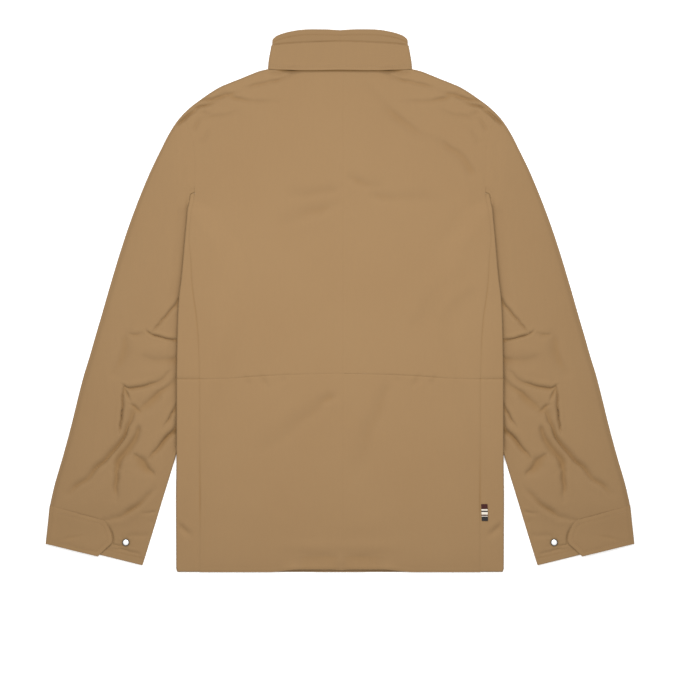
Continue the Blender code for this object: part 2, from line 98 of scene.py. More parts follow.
# sleeve sections, shoulder to cuff: outer x, outer y, inner x, inner y
SLEEVE = [
    (234.7, 280.5, 219.1, 161.7), (241.4, 273.0, 225.2, 158.6),
    (248.0, 264.0, 226.65, 146.2), (257.2, 249.0, 227.6, 131.2),
    (269.0, 225.8, 224.0, 117.2), (284.0, 195.0, 214.5, 103.0),
    (302.5, 150.8, 201.0, 86.8), (316.5, 113.2, 188.5, 61.0),
    (329.9, 72.8, 181.0, 32.2), (344.2, 25.5, 180.5, -5.2),
    (357.8, -21.8, 189.0, -56.2), (367.5, -54.8, 198.0, -89.2),
    (375.6, -83.2, 207.8, -120.0), (384.8, -113.2, 218.2, -153.0),
    (393.0, -144.8, 229.0, -183.8), (402.3, -183.0, 243.2, -223.5),
    (414.9, -230.2, 256.1, -265.5), (428.0, -275.2, 269.2, -308.2),
    (432.4, -293.6, 274.4, -325.6), (435.9, -311.2, 279.6, -342.8),
    (440.5, -360.4, 296.1, -396.4),
]

# ----------------------------------------------------------------- creases
# One crease is a line of stations: x, y, depth, half width.  "over" says
# which side hangs over the line: +1 the side to the left of its direction,
# -1 the other, 0 neither; "lip" is the height of the roll beside it.
# Creases of the upper side of a sleeve, right sleeve:
SLEEVE_CREASES = [
    # name, over, lip, stations
    ("a", +1, 0.5, [(242.0, 0.8, 3.0, 3.2), (253.6, -13.4, 3.2, 2.7),
                    (264.8, -26.3, 2.8, 2.6), (274.6, -38.2, 2.3, 2.1),
                    (281.0, -45.8, 1.4, 1.8), (284.6, -49.8, 0.0, 1.8)]),
    ("b", -1, 0.9, [(291.5, -45.2, 0.4, 1.8), (286.0, -48.4, 2.4, 2.2),
                    (276.0, -52.2, 3.1, 2.2), (262.0, -55.9, 3.4, 2.2),
                    (244.0, -60.3, 3.6, 2.5)]),
    ("b_hook", 0, 0.2, [(286.0, -48.4, 1.5, 1.9), (291.0, -44.8, 1.0, 1.8),
                        (290.5, -40.0, 0.0, 1.8)]),
    ("c", -1, 0.3, [(322.0, -49.0, 0.0, 4.0), (312.0, -51.0, 1.6, 4.0),
                    (305.0, -50.5, 1.6, 4.2), (295.0, -48.8, 0.7, 3.4)]),
    ("d", +1, 0.3, [(319.0, -47.0, 0.5, 6.0), (322.8, -62.0, 1.6, 7.0),
                    (324.0, -76.0, 1.9, 8.0), (330.5, -90.0, 2.0, 7.2),
                    (338.0, -105.0, 1.2, 7.0), (344.0, -120.0, 0.0, 6.0)]),
    ("e", -1, 0.5, [(303.0, -79.0, 0.0, 5.0), (291.0, -84.6, 0.9, 7.0),
                    (276.0, -90.0, 1.3, 8.0), (262.0, -91.0, 1.6, 8.0),
                    (250.0, -89.4, 2.2, 7.2), (242.0, -88.0, 2.4, 6.2)]),
    ("f", -1, 0.9, [(324.0, -126.5, 1.6, 2.1), (320.0, -129.6, 3.0, 2.5),
                    (313.2, -131.4, 3.5, 3.4), (299.0, -128.5, 2.9, 3.3),
                    (284.6, -125.2, 2.8, 3.4), (271.5, -121.6, 1.8, 3.8),
                    (259.0, -109.5, 0.9, 3.4), (249.0, -101.0, 0.4, 3.2)]),
    ("g", +1, 0.6, [(324.5, -129.0, 2.4, 2.1), (326.5, -139.0, 2.9, 2.3),
                    (327.2, -157.0, 3.6, 2.5), (328.4, -172.0, 4.0, 2.5),
                    (330.2, -186.0, 3.6, 2.4), (331.5, -200.0, 0.8, 1.9)]),
    ("h", 0, 0.2, [(324.0, -131.0, 2.2, 1.9), (319.6, -139.0, 3.0, 2.2),
                   (314.6, -151.0, 0.8, 2.2), (313.0, -158.0, 0.0, 2.0)]),
    ("i", 0, 0.3, [(314.8, -155.8, 0.9, 2.8), (308.6, -159.1, 3.2, 3.2),
                   (302.8, -163.9, 3.2, 3.4), (294.0, -169.5, 0.5, 3.2)]),
    ("j", -1, 0.4, [(303.0, -167.0, 1.6, 5.0), (291.5, -155.0, 2.7, 7.6),
                    (279.4, -144.2, 3.3, 7.0), (267.6, -135.4, 2.6, 5.4),
                    (257.0, -127.6, 1.8, 5.6), (248.0, -119.0, 1.2, 6.0),
                    (240.0, -113.0, 0.6, 6.0)]),
    ("k", -1, 0.8, [(301.0, -154.0, 0.8, 5.6), (309.6, -171.4, 2.5, 5.2),
                    (316.6, -189.4, 3.6, 3.6), (323.8, -207.4, 4.4, 3.7),
                    (341.2, -230.4, 4.6, 4.4), (362.4, -250.6, 3.7, 4.2),
                    (378.4, -268.2, 3.1, 4.2), (392.6, -278.5, 2.6, 4.2),
                    (404.0, -288.0, 1.3, 4.2), (414.0, -297.0, 0.0, 4.0)]),
    ("l", 0, 0.6, [(299.0, -184.0, 0.0, 3.4), (303.0, -196.0, 3.0, 4.0),
                    (309.6, -211.0, 3.8, 5.0), (320.6, -227.4, 3.8, 6.4),
                    (332.4, -242.0, 3.9, 6.0), (335.0, -262.0, 3.4, 4.2),
                    (336.0, -281.0, 2.8, 3.9), (335.4, -299.0, 0.6, 3.8)]),
    ("l_deep", -1, 0.0, [(308.0, -202.0, 0.8, 3.0), (315.0, -216.6, 1.7, 4.4),
                         (325.0, -233.0, 2.2, 4.6), (331.0, -248.0, 1.4, 5.0),
                         (335.0, -259.0, 0.0, 3.0)]),
    ("m", +1, 0.5, [(242.0, -154.0, 2.8, 2.8), (249.0, -163.0, 3.5, 2.8),
                    (256.0, -175.0, 2.9, 2.4), (264.0, -189.0, 0.9, 2.2),
                    (268.0, -197.0, 0.0, 2.2)]),
    ("n", +1, 0.9, [(242.0, -187.6, 6.0, 4.2), (248.4, -193.0, 6.0, 3.8),
                    (258.4, -201.8, 5.0, 4.2), (267.6, -212.8, 4.6, 4.4),
                    (276.4, -223.6, 3.8, 4.2), (284.0, -233.6, 1.8, 3.6),
                    (289.0, -241.0, 0.0, 3.0)]),
    ("o", -1, 0.4, [(314.0, -229.5, 0.0, 3.4), (305.6, -233.2, 2.2, 5.4),
                    (295.0, -242.0, 3.0, 9.0), (288.4, -250.0, 3.2, 7.4),
                    (282.0, -257.4, 2.4, 5.4), (276.0, -266.6, 0.0, 3.0)]),
    ("p", -1, 0.6, [(276.6, -281.4, 0.4, 4.0), (288.4, -294.8, 2.0, 4.2),
                    (303.8, -308.6, 2.9, 4.2), (315.8, -317.6, 3.1, 4.2),
                    (328.2, -324.2, 1.9, 4.0), (341.6, -328.0, 1.1, 3.6),
                    (352.0, -330.6, 0.7, 3.0), (359.0, -331.4, 0.0, 2.4)]),
    ("p2", 0, 0.0, [(330.0, -328.2, 0.0, 1.6), (338.0, -328.6, 1.1, 1.6),
                    (348.0, -328.6, 1.3, 1.6), (357.0, -328.0, 0.4, 1.6)]),
    ("q", 0, 0.2, [(297.0, -318.5, 0.3, 2.2), (289.0, -318.8, 0.9, 2.4),
                   (279.0, -317.5, 0.8, 2.3), (275.0, -316.0, 0.4, 2.0)]),
    ("q2", 0, 0.1, [(289.0, -329.0, 0.0, 2.2), (281.0, -332.4, 1.0, 2.3),
                    (276.0, -332.0, 0.7, 2.0)]),
    ("s", 0, 0.2, [(324.0, -353.5, 0.2, 3.6), (306.0, -353.0, 0.7, 3.6),
                   (285.0, -351.4, 0.5, 3.6), (272.0, -350.0, 0.0, 3.2)]),
    ("t", 0, 0.1, [(344.0, -366.4, 1.4, 1.8), (333.0, -368.2, 1.9, 1.8),
                   (327.0, -367.6, 1.2, 1.6)]),
    ("t2", 0, 0.1, [(349.0, -371.4, 0.5, 2.0), (330.0, -373.6, 1.4, 2.0),
                    (317.0, -376.4, 1.3, 2.1), (303.0, -379.6, 0.9, 2.0),
                    (297.0, -381.0, 0.0, 2.0)]),
    ("tip", 0, 0.0, [(355.6, -328.0, 0.2, 1.4), (350.8, -332.2, 0.5, 1.4),
                     (347.4, -337.6, 0.8, 1.4), (344.8, -343.2, 1.3, 1.4),
                     (342.6, -349.2, 2.0, 1.5), (341.0, -355.4, 2.1, 1.5),
                     (340.6, -360.6, 2.1, 1.5), (342.0, -365.4, 1.7, 1.5),
                     (345.4, -369.0, 0.8, 1.4), (350.0, -373.0, 0.3, 1.4),
                     (356.4, -379.0, 0.0, 1.4)]),
    ("head_1", +1, 0.4, [(212.0, 287.5, 0.0, 2.2), (220.0, 283.6, 1.8, 2.3),
                         (228.0, 277.9, 2.6, 2.5), (234.0, 272.9, 2.9, 2.6),
                         (241.0, 266.4, 2.4, 2.4), (247.5, 258.6, 0.0, 2.2)]),
    ("head_2", 0, 0.2, [(236.0, 262.0, 1.4, 3.0), (238.0, 246.0, 0.9, 3.4),
                        (236.0, 230.0, 0.3, 3.8), (234.0, 214.0, 0.4, 4.0),
                        (233.0, 186.0, 0.8, 4.0), (234.0, 170.0, 0.0, 4.0)]),
]
# Creases of the body's back, both sides alike:
BACK_CREASES = [
    ("sh_1", -1, 0.4, [(146.0, 318.6, 0.3, 3.0), (129.0, 322.6, 1.2, 2.8),
                       (110.0, 327.2, 1.2, 2.8), (96.0, 330.0, 1.4, 2.6),
                       (85.0, 333.0, 1.0, 2.5), (76.0, 337.5, 0.8, 2.4),
                       (70.0, 341.0, 0.0, 2.4)]),
    ("sh_2", -1, 0.5, [(176.0, 311.0, 0.8, 3.2), (168.0, 308.2, 1.3, 3.2),
                       (158.0, 304.4, 1.6, 3.4), (144.0, 300.8, 1.4, 2.8),
                       (132.0, 299.2, 0.9, 3.2), (117.0, 298.4, 0.8, 3.6),
                       (98.0, 297.6, 0.3, 4.0), (80.0, 298.0, 0.0, 4.0)]),
    ("sh_3", -1, 0.5, [(211.0, 298.0, 0.6, 2.2), (204.0, 300.2, 1.5, 2.2),
                       (192.0, 302.4, 2.1, 2.3), (180.0, 306.2, 2.2, 3.4),
                       (165.0, 309.4, 1.6, 3.2), (152.0, 313.0, 0.4, 3.4),
                       (140.0, 316.0, 0.0, 3.4)]),
    ("sh_4", -1, 0.6, [(222.0, 286.0, 0.4, 2.0), (213.0, 290.4, 2.3, 2.0),
                       (203.0, 292.5, 2.5, 2.0), (194.0, 295.0, 1.6, 2.0),
                       (184.0, 298.0, 0.5, 2.2), (176.0, 299.0, 0.0, 2.2)]),
    ("sh_5", +1, 0.4, [(212.0, 287.5, 0.0, 2.2), (220.0, 283.6, 1.8, 2.3),
                       (228.0, 277.9, 2.6, 2.5), (234.0, 272.9, 2.9, 2.6),
                       (241.0, 266.4, 2.4, 2.4), (247.5, 258.6, 0.0, 2.2)]),
    ("sh_6", -1, 0.3, [(207.0, 273.5, 0.4, 3.4), (190.0, 275.4, 0.8, 3.8),
                       (172.0, 277.9, 0.8, 3.8), (158.0, 282.4, 0.5, 4.0),
                       (146.0, 286.0, 0.0, 4.0)]),
    ("sh_7", 0, 0.3, [(212.0, 280.6, 0.0, 2.6), (205.0, 281.6, 0.9, 3.0),
                      (198.0, 279.0, 0.8, 3.0), (190.0, 278.0, 0.0, 3.0)]),
    ("pk_1", 0, 0.2, [(221.0, 251.0, 0.0, 3.4), (217.5, 258.0, 1.0, 3.4),
                      (213.0, 267.0, 1.0, 3.2), (210.0, 274.0, 0.4, 3.0),
                      (207.0, 279.0, 0.0, 3.0)]),
    ("pk_2", 0, 0.2, [(211.0, 231.0, 0.0, 4.0), (205.6, 240.0, 0.7, 4.0),
                      (198.4, 250.0, 0.6, 4.0), (194.0, 258.0, 0.0, 4.0)]),
    ("neck", -1, 0.2, [(112.0, 342.0, 0.0, 2.0), (101.0, 341.5, 0.9, 2.2),
                       (90.0, 341.0, 0.9, 2.2), (80.0, 343.0, 0.0, 2.0)]),
    ("dent", -1, 0.5, [(243.0, -333.0, 0.6, 3.2), (239.0, -338.6, 1.9, 3.4),
                       (233.0, -344.4, 2.0, 3.8), (226.0, -349.0, 1.0, 4.0),
                       (218.0, -352.0, 0.0, 4.0)]),
    ("waist_1", 0, 0.2, [(143.0, -114.5, 0.3, 3.6), (139.0, -122.0, 0.6, 4.4),
                         (134.0, -131.0, 0.0, 4.4)]),
    ("waist_2", 0, 0.2, [(118.0, -113.0, 0.3, 3.6), (114.0, -121.0, 0.7, 4.6),
                         (104.0, -134.0, 0.0, 4.8)]),
    ("waist_3", 0, 0.2, [(80.0, -112.0, 0.2, 4.0), (84.0, -119.0, 0.4, 4.4),
                         (92.0, -127.0, 0.0, 4.4)]),
]
# Soft creases of the whole back (x of either sign):
WHOLE_CREASES = [
    ("r1_a", +1, 0.3, [(34.0, 330.0, 0.0, 7.0), (48.0, 314.0, 0.4, 7.0),
                       (64.0, 298.0, 0.6, 7.0), (88.0, 272.6, 1.5, 6.6),
                       (108.6, 258.4, 1.3, 7.0), (126.0, 246.0, 0.5, 6.4),
                       (144.0, 241.0, 0.4, 6.0), (163.0, 230.4, 1.3, 5.0),
                       (182.4, 215.0, 1.4, 6.4), (196.0, 197.0, 1.5, 6.6),
                       (206.0, 184.0, 0.0, 7.0)]),
    ("b1", -1, 0.3, [(-92.0, 156.0, 0.0, 9.0), (-66.0, 158.8, 0.6, 8.5),
                     (-43.4, 159.4, 0.9, 7.0), (-17.4, 163.4, 0.9, 6.4),
                     (-2.0, 169.0, 0.3, 6.0), (8.0, 176.0, 0.0, 6.0)]),
    ("b2", -1, 0.3, [(-104.0, 110.0, 0.0, 9.0), (-76.0, 120.0, 0.6, 10.0),
                     (-48.0, 129.0, 0.9, 9.0), (-28.0, 135.6, 1.2, 7.0),
                     (-9.0, 142.0, 0.4, 7.0), (4.0, 147.0, 0.0, 7.0)]),
    ("b3", -1, 0.3, [(6.0, 187.0, 0.0, 6.0), (16.0, 183.0, 0.6, 6.0),
                     (26.0, 176.6, 1.2, 6.0), (40.0, 172.6, 1.0, 6.0),
                     (55.0, 172.0, 0.6, 6.0), (72.0, 168.0, 0.0, 6.0)]),
    ("b4", -1, 0.2, [(38.0, 158.0, 0.0, 8.0), (58.0, 154.6, 1.1, 6.4),
                     (90.0, 152.6, 0.8, 7.0), (122.0, 153.0, 0.7, 9.0),
                     (146.0, 152.0, 0.2, 8.0), (164.0, 156.0, 0.0, 8.0)]),
    ("b5", +1, 0.3, [(98.0, -46.0, 0.0, 10.0), (116.0, -26.0, 0.5, 12.0),
                     (134.0, -1.0, 0.6, 11.0), (152.0, 21.0, 0.4, 10.0),
                     (166.0, 42.0, 0.0, 10.0)]),
    ("b6", +1, 0.3, [(136.0, -44.0, 0.0, 12.0), (156.0, -27.0, 0.6, 12.0),
                     (174.0, -8.0, 0.7, 11.0), (191.0, 9.0, 0.6, 10.0),
                     (204.0, 26.0, 0.0, 9.0)]),
    ("b7", -1, 0.4, [(-134.0, -240.0, 0.0, 12.0), (-102.0, -215.0, 0.5, 11.0),
                     (-68.0, -189.0, 0.7, 10.0), (-42.0, -168.4, 0.8, 8.6),
                     (-17.0, -147.4, 1.3, 6.6), (-3.0, -139.0, 0.0, 6.0)]),
    ("b8", -1, 0.3, [(16.0, -270.0, 0.0, 13.0), (30.0, -238.0, 0.6, 13.0),
                     (46.4, -197.0, 0.9, 11.0), (59.0, -164.6, 1.0, 9.0),
                     (69.0, -136.6, 0.7, 8.0), (72.0, -122.0, 0.3, 8.0)]),
    ("b10", 0, 0.2, [(166.0, 144.0, 0.0, 10.0), (170.0, 122.0, 0.3, 10.0),
                     (160.0, 96.0, 0.3, 10.0), (146.0, 76.0, 0.0, 10.0)]),
    ("hem_1", +1, 0.2, [(-70.0, -380.0, 0.0, 6.0), (-44.0, -382.6, 0.25, 6.0),
                        (-22.0, -383.4, 0.4, 5.0), (-8.0, -384.0, 0.3, 5.0),
                        (0.0, -384.0, 0.0, 5.0)]),
    ("hem_2", +1, 0.2, [(2.0, -384.0, 0.0, 5.0), (16.0, -384.0, 0.3, 5.0),
                        (34.0, -383.4, 0.4, 5.0), (50.0, -382.0, 0.2, 6.0),
                        (74.0, -380.0, 0.0, 6.0)]),
]
# Broad swellings: x, y, radius along, radius across, turn in degrees, height
SLEEVE_SWELLS = [
    (292.0, 60.0, 120.0, 42.0, 108.0, 0.7),
    (268.0, -72.0, 34.0, 13.0, 170.0, 1.3),
    (300.0, -62.0, 26.0, 12.0, 150.0, 0.5),
    (272.0, -104.0, 36.0, 12.0, 158.0, 1.1),
    (352.0, -130.0, 60.0, 16.0, 108.0, 0.9),
    (290.0, -175.0, 44.0, 13.0, 125.0, 1.0),
    (312.0, -152.0, 16.0, 9.0, 100.0, 0.5),
    (360.0, -215.0, 44.0, 15.0, 118.0, 0.9),
    (322.0, -182.0, 22.0, 8.0, 112.0, 0.4),
    (354.0, -276.0, 40.0, 14.0, 130.0, 0.9),
    (312.0, -262.0, 34.0, 15.0, 100.0, 1.0),
    (284.0, -272.0, 30.0, 12.0, 110.0, 0.5),
    (392.0, -240.0, 50.0, 14.0, 106.0, 0.5),
]
BODY_SWELLS = [   # whole back
    (-186.0, 150.0, 70.0, 14.0, 92.0, 0.8),
    (188.0, 150.0, 70.0, 14.0, 88.0, 0.8),
    (-188.0, -30.0, 50.0, 15.0, 90.0, 0.7),
    (188.0, -50.0, 46.0, 15.0, 90.0, 0.7),
    (-186.0, -200.0, 90.0, 18.0, 90.0, 0.5),
    (186.0, -200.0, 90.0, 18.0, 90.0, 0.5),
    (-20.0, 230.0, 90.0, 60.0, 10.0, 0.7),
    (-60.0, 40.0, 90.0, 55.0, 100.0, 0.8),
    (80.0, 70.0, 80.0, 45.0, 60.0, 0.5),
    (-30.0, -300.0, 120.0, 70.0, 0.0, 0.8),
    (120.0, -260.0, 80.0, 50.0, 80.0, 0.5),
    (-110.0, -160.0, 40.0, 22.0, 40.0, 0.5),
    (0.0, -392.0, 16.0, 10.0, 0.0, 0.7),
    (-42.0, -368.0, 44.0, 9.0, 0.0, 0.9),
    (42.0, -368.0, 46.0, 9.0, 0.0, 0.9),
    (-92.0, -176.0, 52.0, 12.0, 38.0, 0.5),
    (166.0, 8.0, 62.0, 15.0, 46.0, -0.6),
    (-30.0, 118.0, 60.0, 12.0, 10.0, 0.4),
    (70.0, 196.0, 56.0, 13.0, 170.0, 0.4),
    (96.0, 128.0, 56.0, 14.0, 176.0, 0.4),
    (-128.0, 60.0, 96.0, 16.0, 84.0, 0.4),
    (-108.0, 262.0, 44.0, 14.0, 150.0, 0.4),
    (108.0, 226.0, 44.0, 14.0, 30.0, 0.4),
    (60.0, -330.0, 60.0, 16.0, 12.0, 0.4),
    (-122.0, -318.0, 56.0, 18.0, 160.0, 0.4),
]


# ------------------------------------------------------------------ helpers
def curve(table, key, column):
    """A smooth line through two columns of a table that never overshoots."""
    rows = sorted((r[key], r[column]) for r in table)
    x = np.array([r[0] for r in rows], float)
    y = np.array([r[1] for r in rows], float)
    h = np.diff(x)
    d = np.diff(y) / h
    m = np.zeros_like(y)
    same = d[:-1] * d[1:] > 0
    w1, w2 = 2 * h[1:] + h[:-1], h[1:] + 2 * h[:-1]
    with np.errstate(divide="ignore", invalid="ignore"):
        mean = (w1 + w2) / (w1 / d[:-1] + w2 / d[1:])
    m[1:-1] = np.where(same, mean, 0.0)
    m[0], m[-1] = d[0], d[-1]

    def f(v):
        v = np.clip(np.asarray(v, float), x[0], x[-1])
        k = np.clip(np.searchsorted(x, v, side="right") - 1, 0, len(h) - 1)
        t = (v - x[k]) / h[k]
        return ((1 + 2 * t) * (1 - t) ** 2 * y[k] + t * (1 - t) ** 2 * h[k] * m[k]
                + t * t * (3 - 2 * t) * y[k + 1] + t * t * (t - 1) * h[k] * m[k + 1])
    return f


def ease(t):
    t = np.clip(t, 0.0, 1.0)
    return t * t * (3.0 - 2.0 * t)


def spread(length, step, fine=0.0, start=True, end=True):
    """Stations 0..length about step apart, closer together at the ends."""
    near = [0.0, 0.06, 0.18, 0.34, 0.5, 0.85, 1.3, 1.9, 2.6, 3.4]
    near = [v for v in near if v < 3.6] if fine else [0.0, 0.08, 0.24, 0.5, 1.2]
    head = near if start else [0.0]
    tail = [length - v for v in reversed(near)] if end else [length]
    n = max(1, int(round((tail[0] - head[-1]) / step)))
    middle = np.linspace(head[-1], tail[0], n + 1)[1:-1]
    return np.array(list(head) + list(middle) + list(tail))


shoulder_y = curve(SHOULDER, 0, 1)
armhole_x = curve(ARMHOLE, 1, 0)
side_x = curve(SIDE_EDGE, 0, 1)
seam_x = curve(SIDE_BACK, 0, 1)
waist_y = curve(WAIST, 0, 1)
rise_full = curve(RISE_FULL, 0, 1)
neck_front_y = curve(NECK_FRONT, 0, 1)
sleeve_out_x = curve([(r[1], r[0]) for r in SLEEVE], 0, 1)
sleeve_in_x = curve([(r[3], r[2]) for r in SLEEVE], 0, 1)


def densify(stations, step=2.0):
    """The stations of one fold line as a smooth line of x, y, depth, half width."""
    p = np.array(stations, float)
    p = np.vstack([2 * p[0] - p[1], p, 2 * p[-1] - p[-2]])
    out = []
    for k in range(1, len(p) - 2):
        n = max(2, int(np.hypot(*(p[k + 1, :2] - p[k, :2])) / step))
        t = np.linspace(0, 1, n, endpoint=(k == len(p) - 3))[:, None]
        a, b, c, d = p[k - 1], p[k], p[k + 1], p[k + 2]
        q = 0.5 * (2 * b + (c - a) * t + (2 * a - 5 * b + 4 * c - d) * t ** 2
                   + (3 * b - a - 3 * c + d) * t ** 3)
        q[:, 2:] = b[2:] + (c[2:] - b[2:]) * ease(t)
        out.append(q)
    return np.vstack(out)


def wander(line, name):
    """Real creases are never even: the line strays and its depth changes a little."""
    s = np.concatenate([[0.0], np.cumsum(np.hypot(*np.diff(line[:, :2], axis=0).T))])
    seed = sum((i + 1) * ord(c) for i, c in enumerate(name))
    wide = line[:, 3]
    phase = s / np.maximum(wide, 2.0)
    along = np.gradient(line[:, :2], axis=0)
    along /= np.maximum(np.hypot(along[:, 0], along[:, 1])[:, None], 1e-9)
    off = wide * 0.15 * np.sin(0.71 * phase + seed)
    ends = ease(s / 6.0) * ease((s[-1] - s) / 6.0)
    out = line.copy()
    out[:, 0] += -along[:, 1] * off * ends
    out[:, 1] += along[:, 0] * off * ends
    out[:, 2] *= 1.0 + 0.08 * np.sin(0.53 * phase + 1.7 * seed) * ends
    return out


def crease_fields(x, y, table):
    """Depth, height of the rolls and sideways push of a table of creases."""
    shape = np.shape(x)
    x, y = np.ravel(x).astype(float), np.ravel(y).astype(float)
    depth3 = np.zeros_like(x)
    roll3 = np.zeros_like(x)
    push = np.zeros((len(x), 2))
    for name, over, lip, stations in table:
        line = wander(densify(stations), name)
        reach = 6.0 * line[:, 3].max()
        near = np.where((x > line[:, 0].min() - reach) & (x < line[:, 0].max() + reach)
                        & (y > line[:, 1].min() - reach) & (y < line[:, 1].max() + reach))[0]
        if not len(near):
            continue
        px, py = x[near], y[near]
        best = np.full(len(near), 1e9)
        side = np.zeros(len(near))
        deep = np.zeros(len(near))
        wide = np.ones(len(near))
        nx, ny = np.zeros(len(near)), np.zeros(len(near))
        for a, b in zip(line[:-1], line[1:]):
            dx, dy = b[0] - a[0], b[1] - a[1]
            length2 = dx * dx + dy * dy
            t = np.clip(((px - a[0]) * dx + (py - a[1]) * dy) / length2, 0, 1)
            ex, ey = px - a[0] - t * dx, py - a[1] - t * dy
            dist = np.hypot(ex, ey)
            closer = dist < best
            best = np.where(closer, dist, best)
            cross = (dx * ey - dy * ex)
            side = np.where(closer, np.where(cross >= 0, 1.0, -1.0), side)
            deep = np.where(closer, a[2] + (b[2] - a[2]) * t, deep)
            wide = np.where(closer, a[3] + (b[3] - a[3]) * t, wide)
            root = math.sqrt(length2)
            nx = np.where(closer, -dy / root, nx)
            ny = np.where(closer, dx / root, ny)
        u = best * side / wide
        if over:
            u = u * over                       # > 0 on the side that hangs over
            steep = np.where(u > 0, 0.72, 1.35)
        else:
            steep = 1.0
        trough = deep * np.exp(-(u / steep) ** 2)
        share = deep / max(1e-6, line[:, 2].max())
        roll = lip * share * (np.exp(-((u - 1.9) / 1.1) ** 2)
                              + (0.35 if over else 1.0) * np.exp(-((u + 2.2) / 1.3) ** 2))
        depth3[near] += trough ** 3
        roll3[near] += roll ** 3
        if over:
            amount = 0.36 * deep * np.exp(-((u - 0.75) / 0.75) ** 2) * ease(u * 4.0 + 1.0)
            push[near, 0] += -over * nx * amount
            push[near, 1] += -over * ny * amount
    return (np.cbrt(depth3).reshape(shape), np.cbrt(roll3).reshape(shape),
            push.reshape(shape + (2,)))


def swells(x, y, table):
    total = np.zeros(np.shape(x))
    for cx, cy, along_r, across_r, turn, height in table:
        a = math.radians(turn)
        dx, dy = x - cx, y - cy
        u = (dx * math.cos(a) + dy * math.sin(a)) / along_r
        v = (-dx * math.sin(a) + dy * math.cos(a)) / across_r
        total = total + height * np.exp(-(u * u + v * v))
    return total


# ------------------------------------------------------------ heights (mm)
def rise(x, y):
    """Rise of the body over the sleeve that lies under it."""
    full = rise_full(y)
    return np.where(y < 161.2, LIFT * ease((np.abs(x) - (full - RAMP)) / RAMP), 0.0)


def fold_distance(ax, y):
    """Distance in plan from the body's side fold, which ends under the arm."""
    across = side_x(np.minimum(y, 156.8)) - EDGE - ax
    return np.where(y > 156.8, np.hypot(np.maximum(across, 0.0), np.maximum(y - 156.8, 0.0)),
                    across)


EDGE_DIP = [(162.0, 0.3), (150.0, 1.7), (138.0, 1.2), (120.0, 0.9), (100.0, 0.9), (60.0, 1.2),
            (16.0, 1.4), (0.0, 1.5), (-20.0, 1.0), (-55.0, 1.4), (-88.0, 1.7), (-122.0, 2.1),
            (-157.0, 1.6), (-178.0, 2.4), (-190.0, 2.6), (-205.0, 2.2), (-230.0, 1.9),
            (-270.0, 1.4)]      # y, how far the sleeve falls away beside the body
edge_dip = curve(EDGE_DIP, 0, 1)


def back_relief(x, y):
    """What the back stands above its plain layer, and how deep its creases are."""
    ax = np.abs(x)
    d_side = fold_distance(ax, y)
    d_top = np.where(ax > 105.8, (shoulder_y(ax) - y) * 0.85,
                     (347.3 - y) * 0.8 + 3.0 * (1 - ease((ax - 85.0) / 20.0)))
    d_hem = y - HEM_Y
    pillow = (BODY_LOFT * (1 - np.exp(-np.maximum(d_side, 0.0) / 20.0))
              * (1 - np.exp(-np.maximum(d_top, 0.0) / 14.0))
              * (1 - 0.9 * np.exp(-np.maximum(d_hem, 0.0) / 12.0)))
    swell = swells(x, y, BODY_SWELLS) * ease(d_side / 30.0)
    d1, r1, _ = crease_fields(ax, y, BACK_CREASES)
    d2, r2, _ = crease_fields(x, y, WHOLE_CREASES)
    keep = ease(d_side / 6.0 + 0.15)
    deep = np.cbrt((1.5 * d1) ** 3 + (1.25 * d2) ** 3) * keep
    roll = np.cbrt(r1 ** 3 + r2 ** 3) * keep
    return pillow + swell + roll - deep, deep


def back_top(x, y):
    relief, deep = back_relief(x, y)
    return HIGH + rise(x, y) + relief, deep


def sleeve_relief(x, y, with_creases=True):
    """Upper side of the right sleeve above its plain layer."""
    d_out = (sleeve_out_x(y) - x) * 0.95 - EDGE
    edge_y = np.clip(161.7 - (x - 219.1) * 0.47, 158.6, 161.7)
    d_in = np.where(y < 158.6, (x - sleeve_in_x(y)) * 0.93,
                    np.hypot(np.maximum(x - 225.7, 0.0) * 0.93, np.maximum(y - edge_y, 0.0)))
    d_in = d_in - EDGE
    under = x - side_x(np.minimum(y, 156.8)) - 1.0
    beside = 1.0 - ease((y - 128.0) / 16.0)          # 0 where the sleeve is not yet under
    clear = 1.0 - (1.0 - ease(under / 20.0)) * beside
    pillow = (SLEEVE_LOFT * (1 - np.exp(-np.maximum(d_out, 0.0) / 17.0))
              * (1 - np.exp(-np.maximum(d_in, 0.0) / 14.0)))
    cuff = ease((-300.0 - y) / 55.0)
    pillow = pillow * (1 - 0.92 * cuff)
    swell = 1.35 * swells(x, y, SLEEVE_SWELLS) * ease(d_out / 14.0) * (1 - cuff)
    up = (pillow + swell) * clear
    if not with_creases:
        return up, np.zeros_like(up), np.zeros(np.shape(x) + (2,))
    deep, roll, push = crease_fields(x, y, SLEEVE_CREASES)
    edge = ease(d_out / 5.0 + 0.1) * ease(d_in / 5.0 + 0.1)
    roll_clear = 1.0 - (1.0 - ease(under / 12.0 + 0.1)) * beside
    deep, roll = deep * edge, roll * edge * roll_clear
    line = np.exp(-(np.maximum(under, 0.0) / 3.4) ** 2) * (1.0 - ease((y - 150.0) / 9.0))
    up = up + roll - deep - edge_dip(y) * line
    # the depth it returns also carries a painted shadow of the body's edge on the sleeve, 1.3 times
    # the line
    return up, deep + 1.3 * line, push * (edge * roll_clear)[..., None]


# ------------------------------------------------------------ mesh building
pieces = []


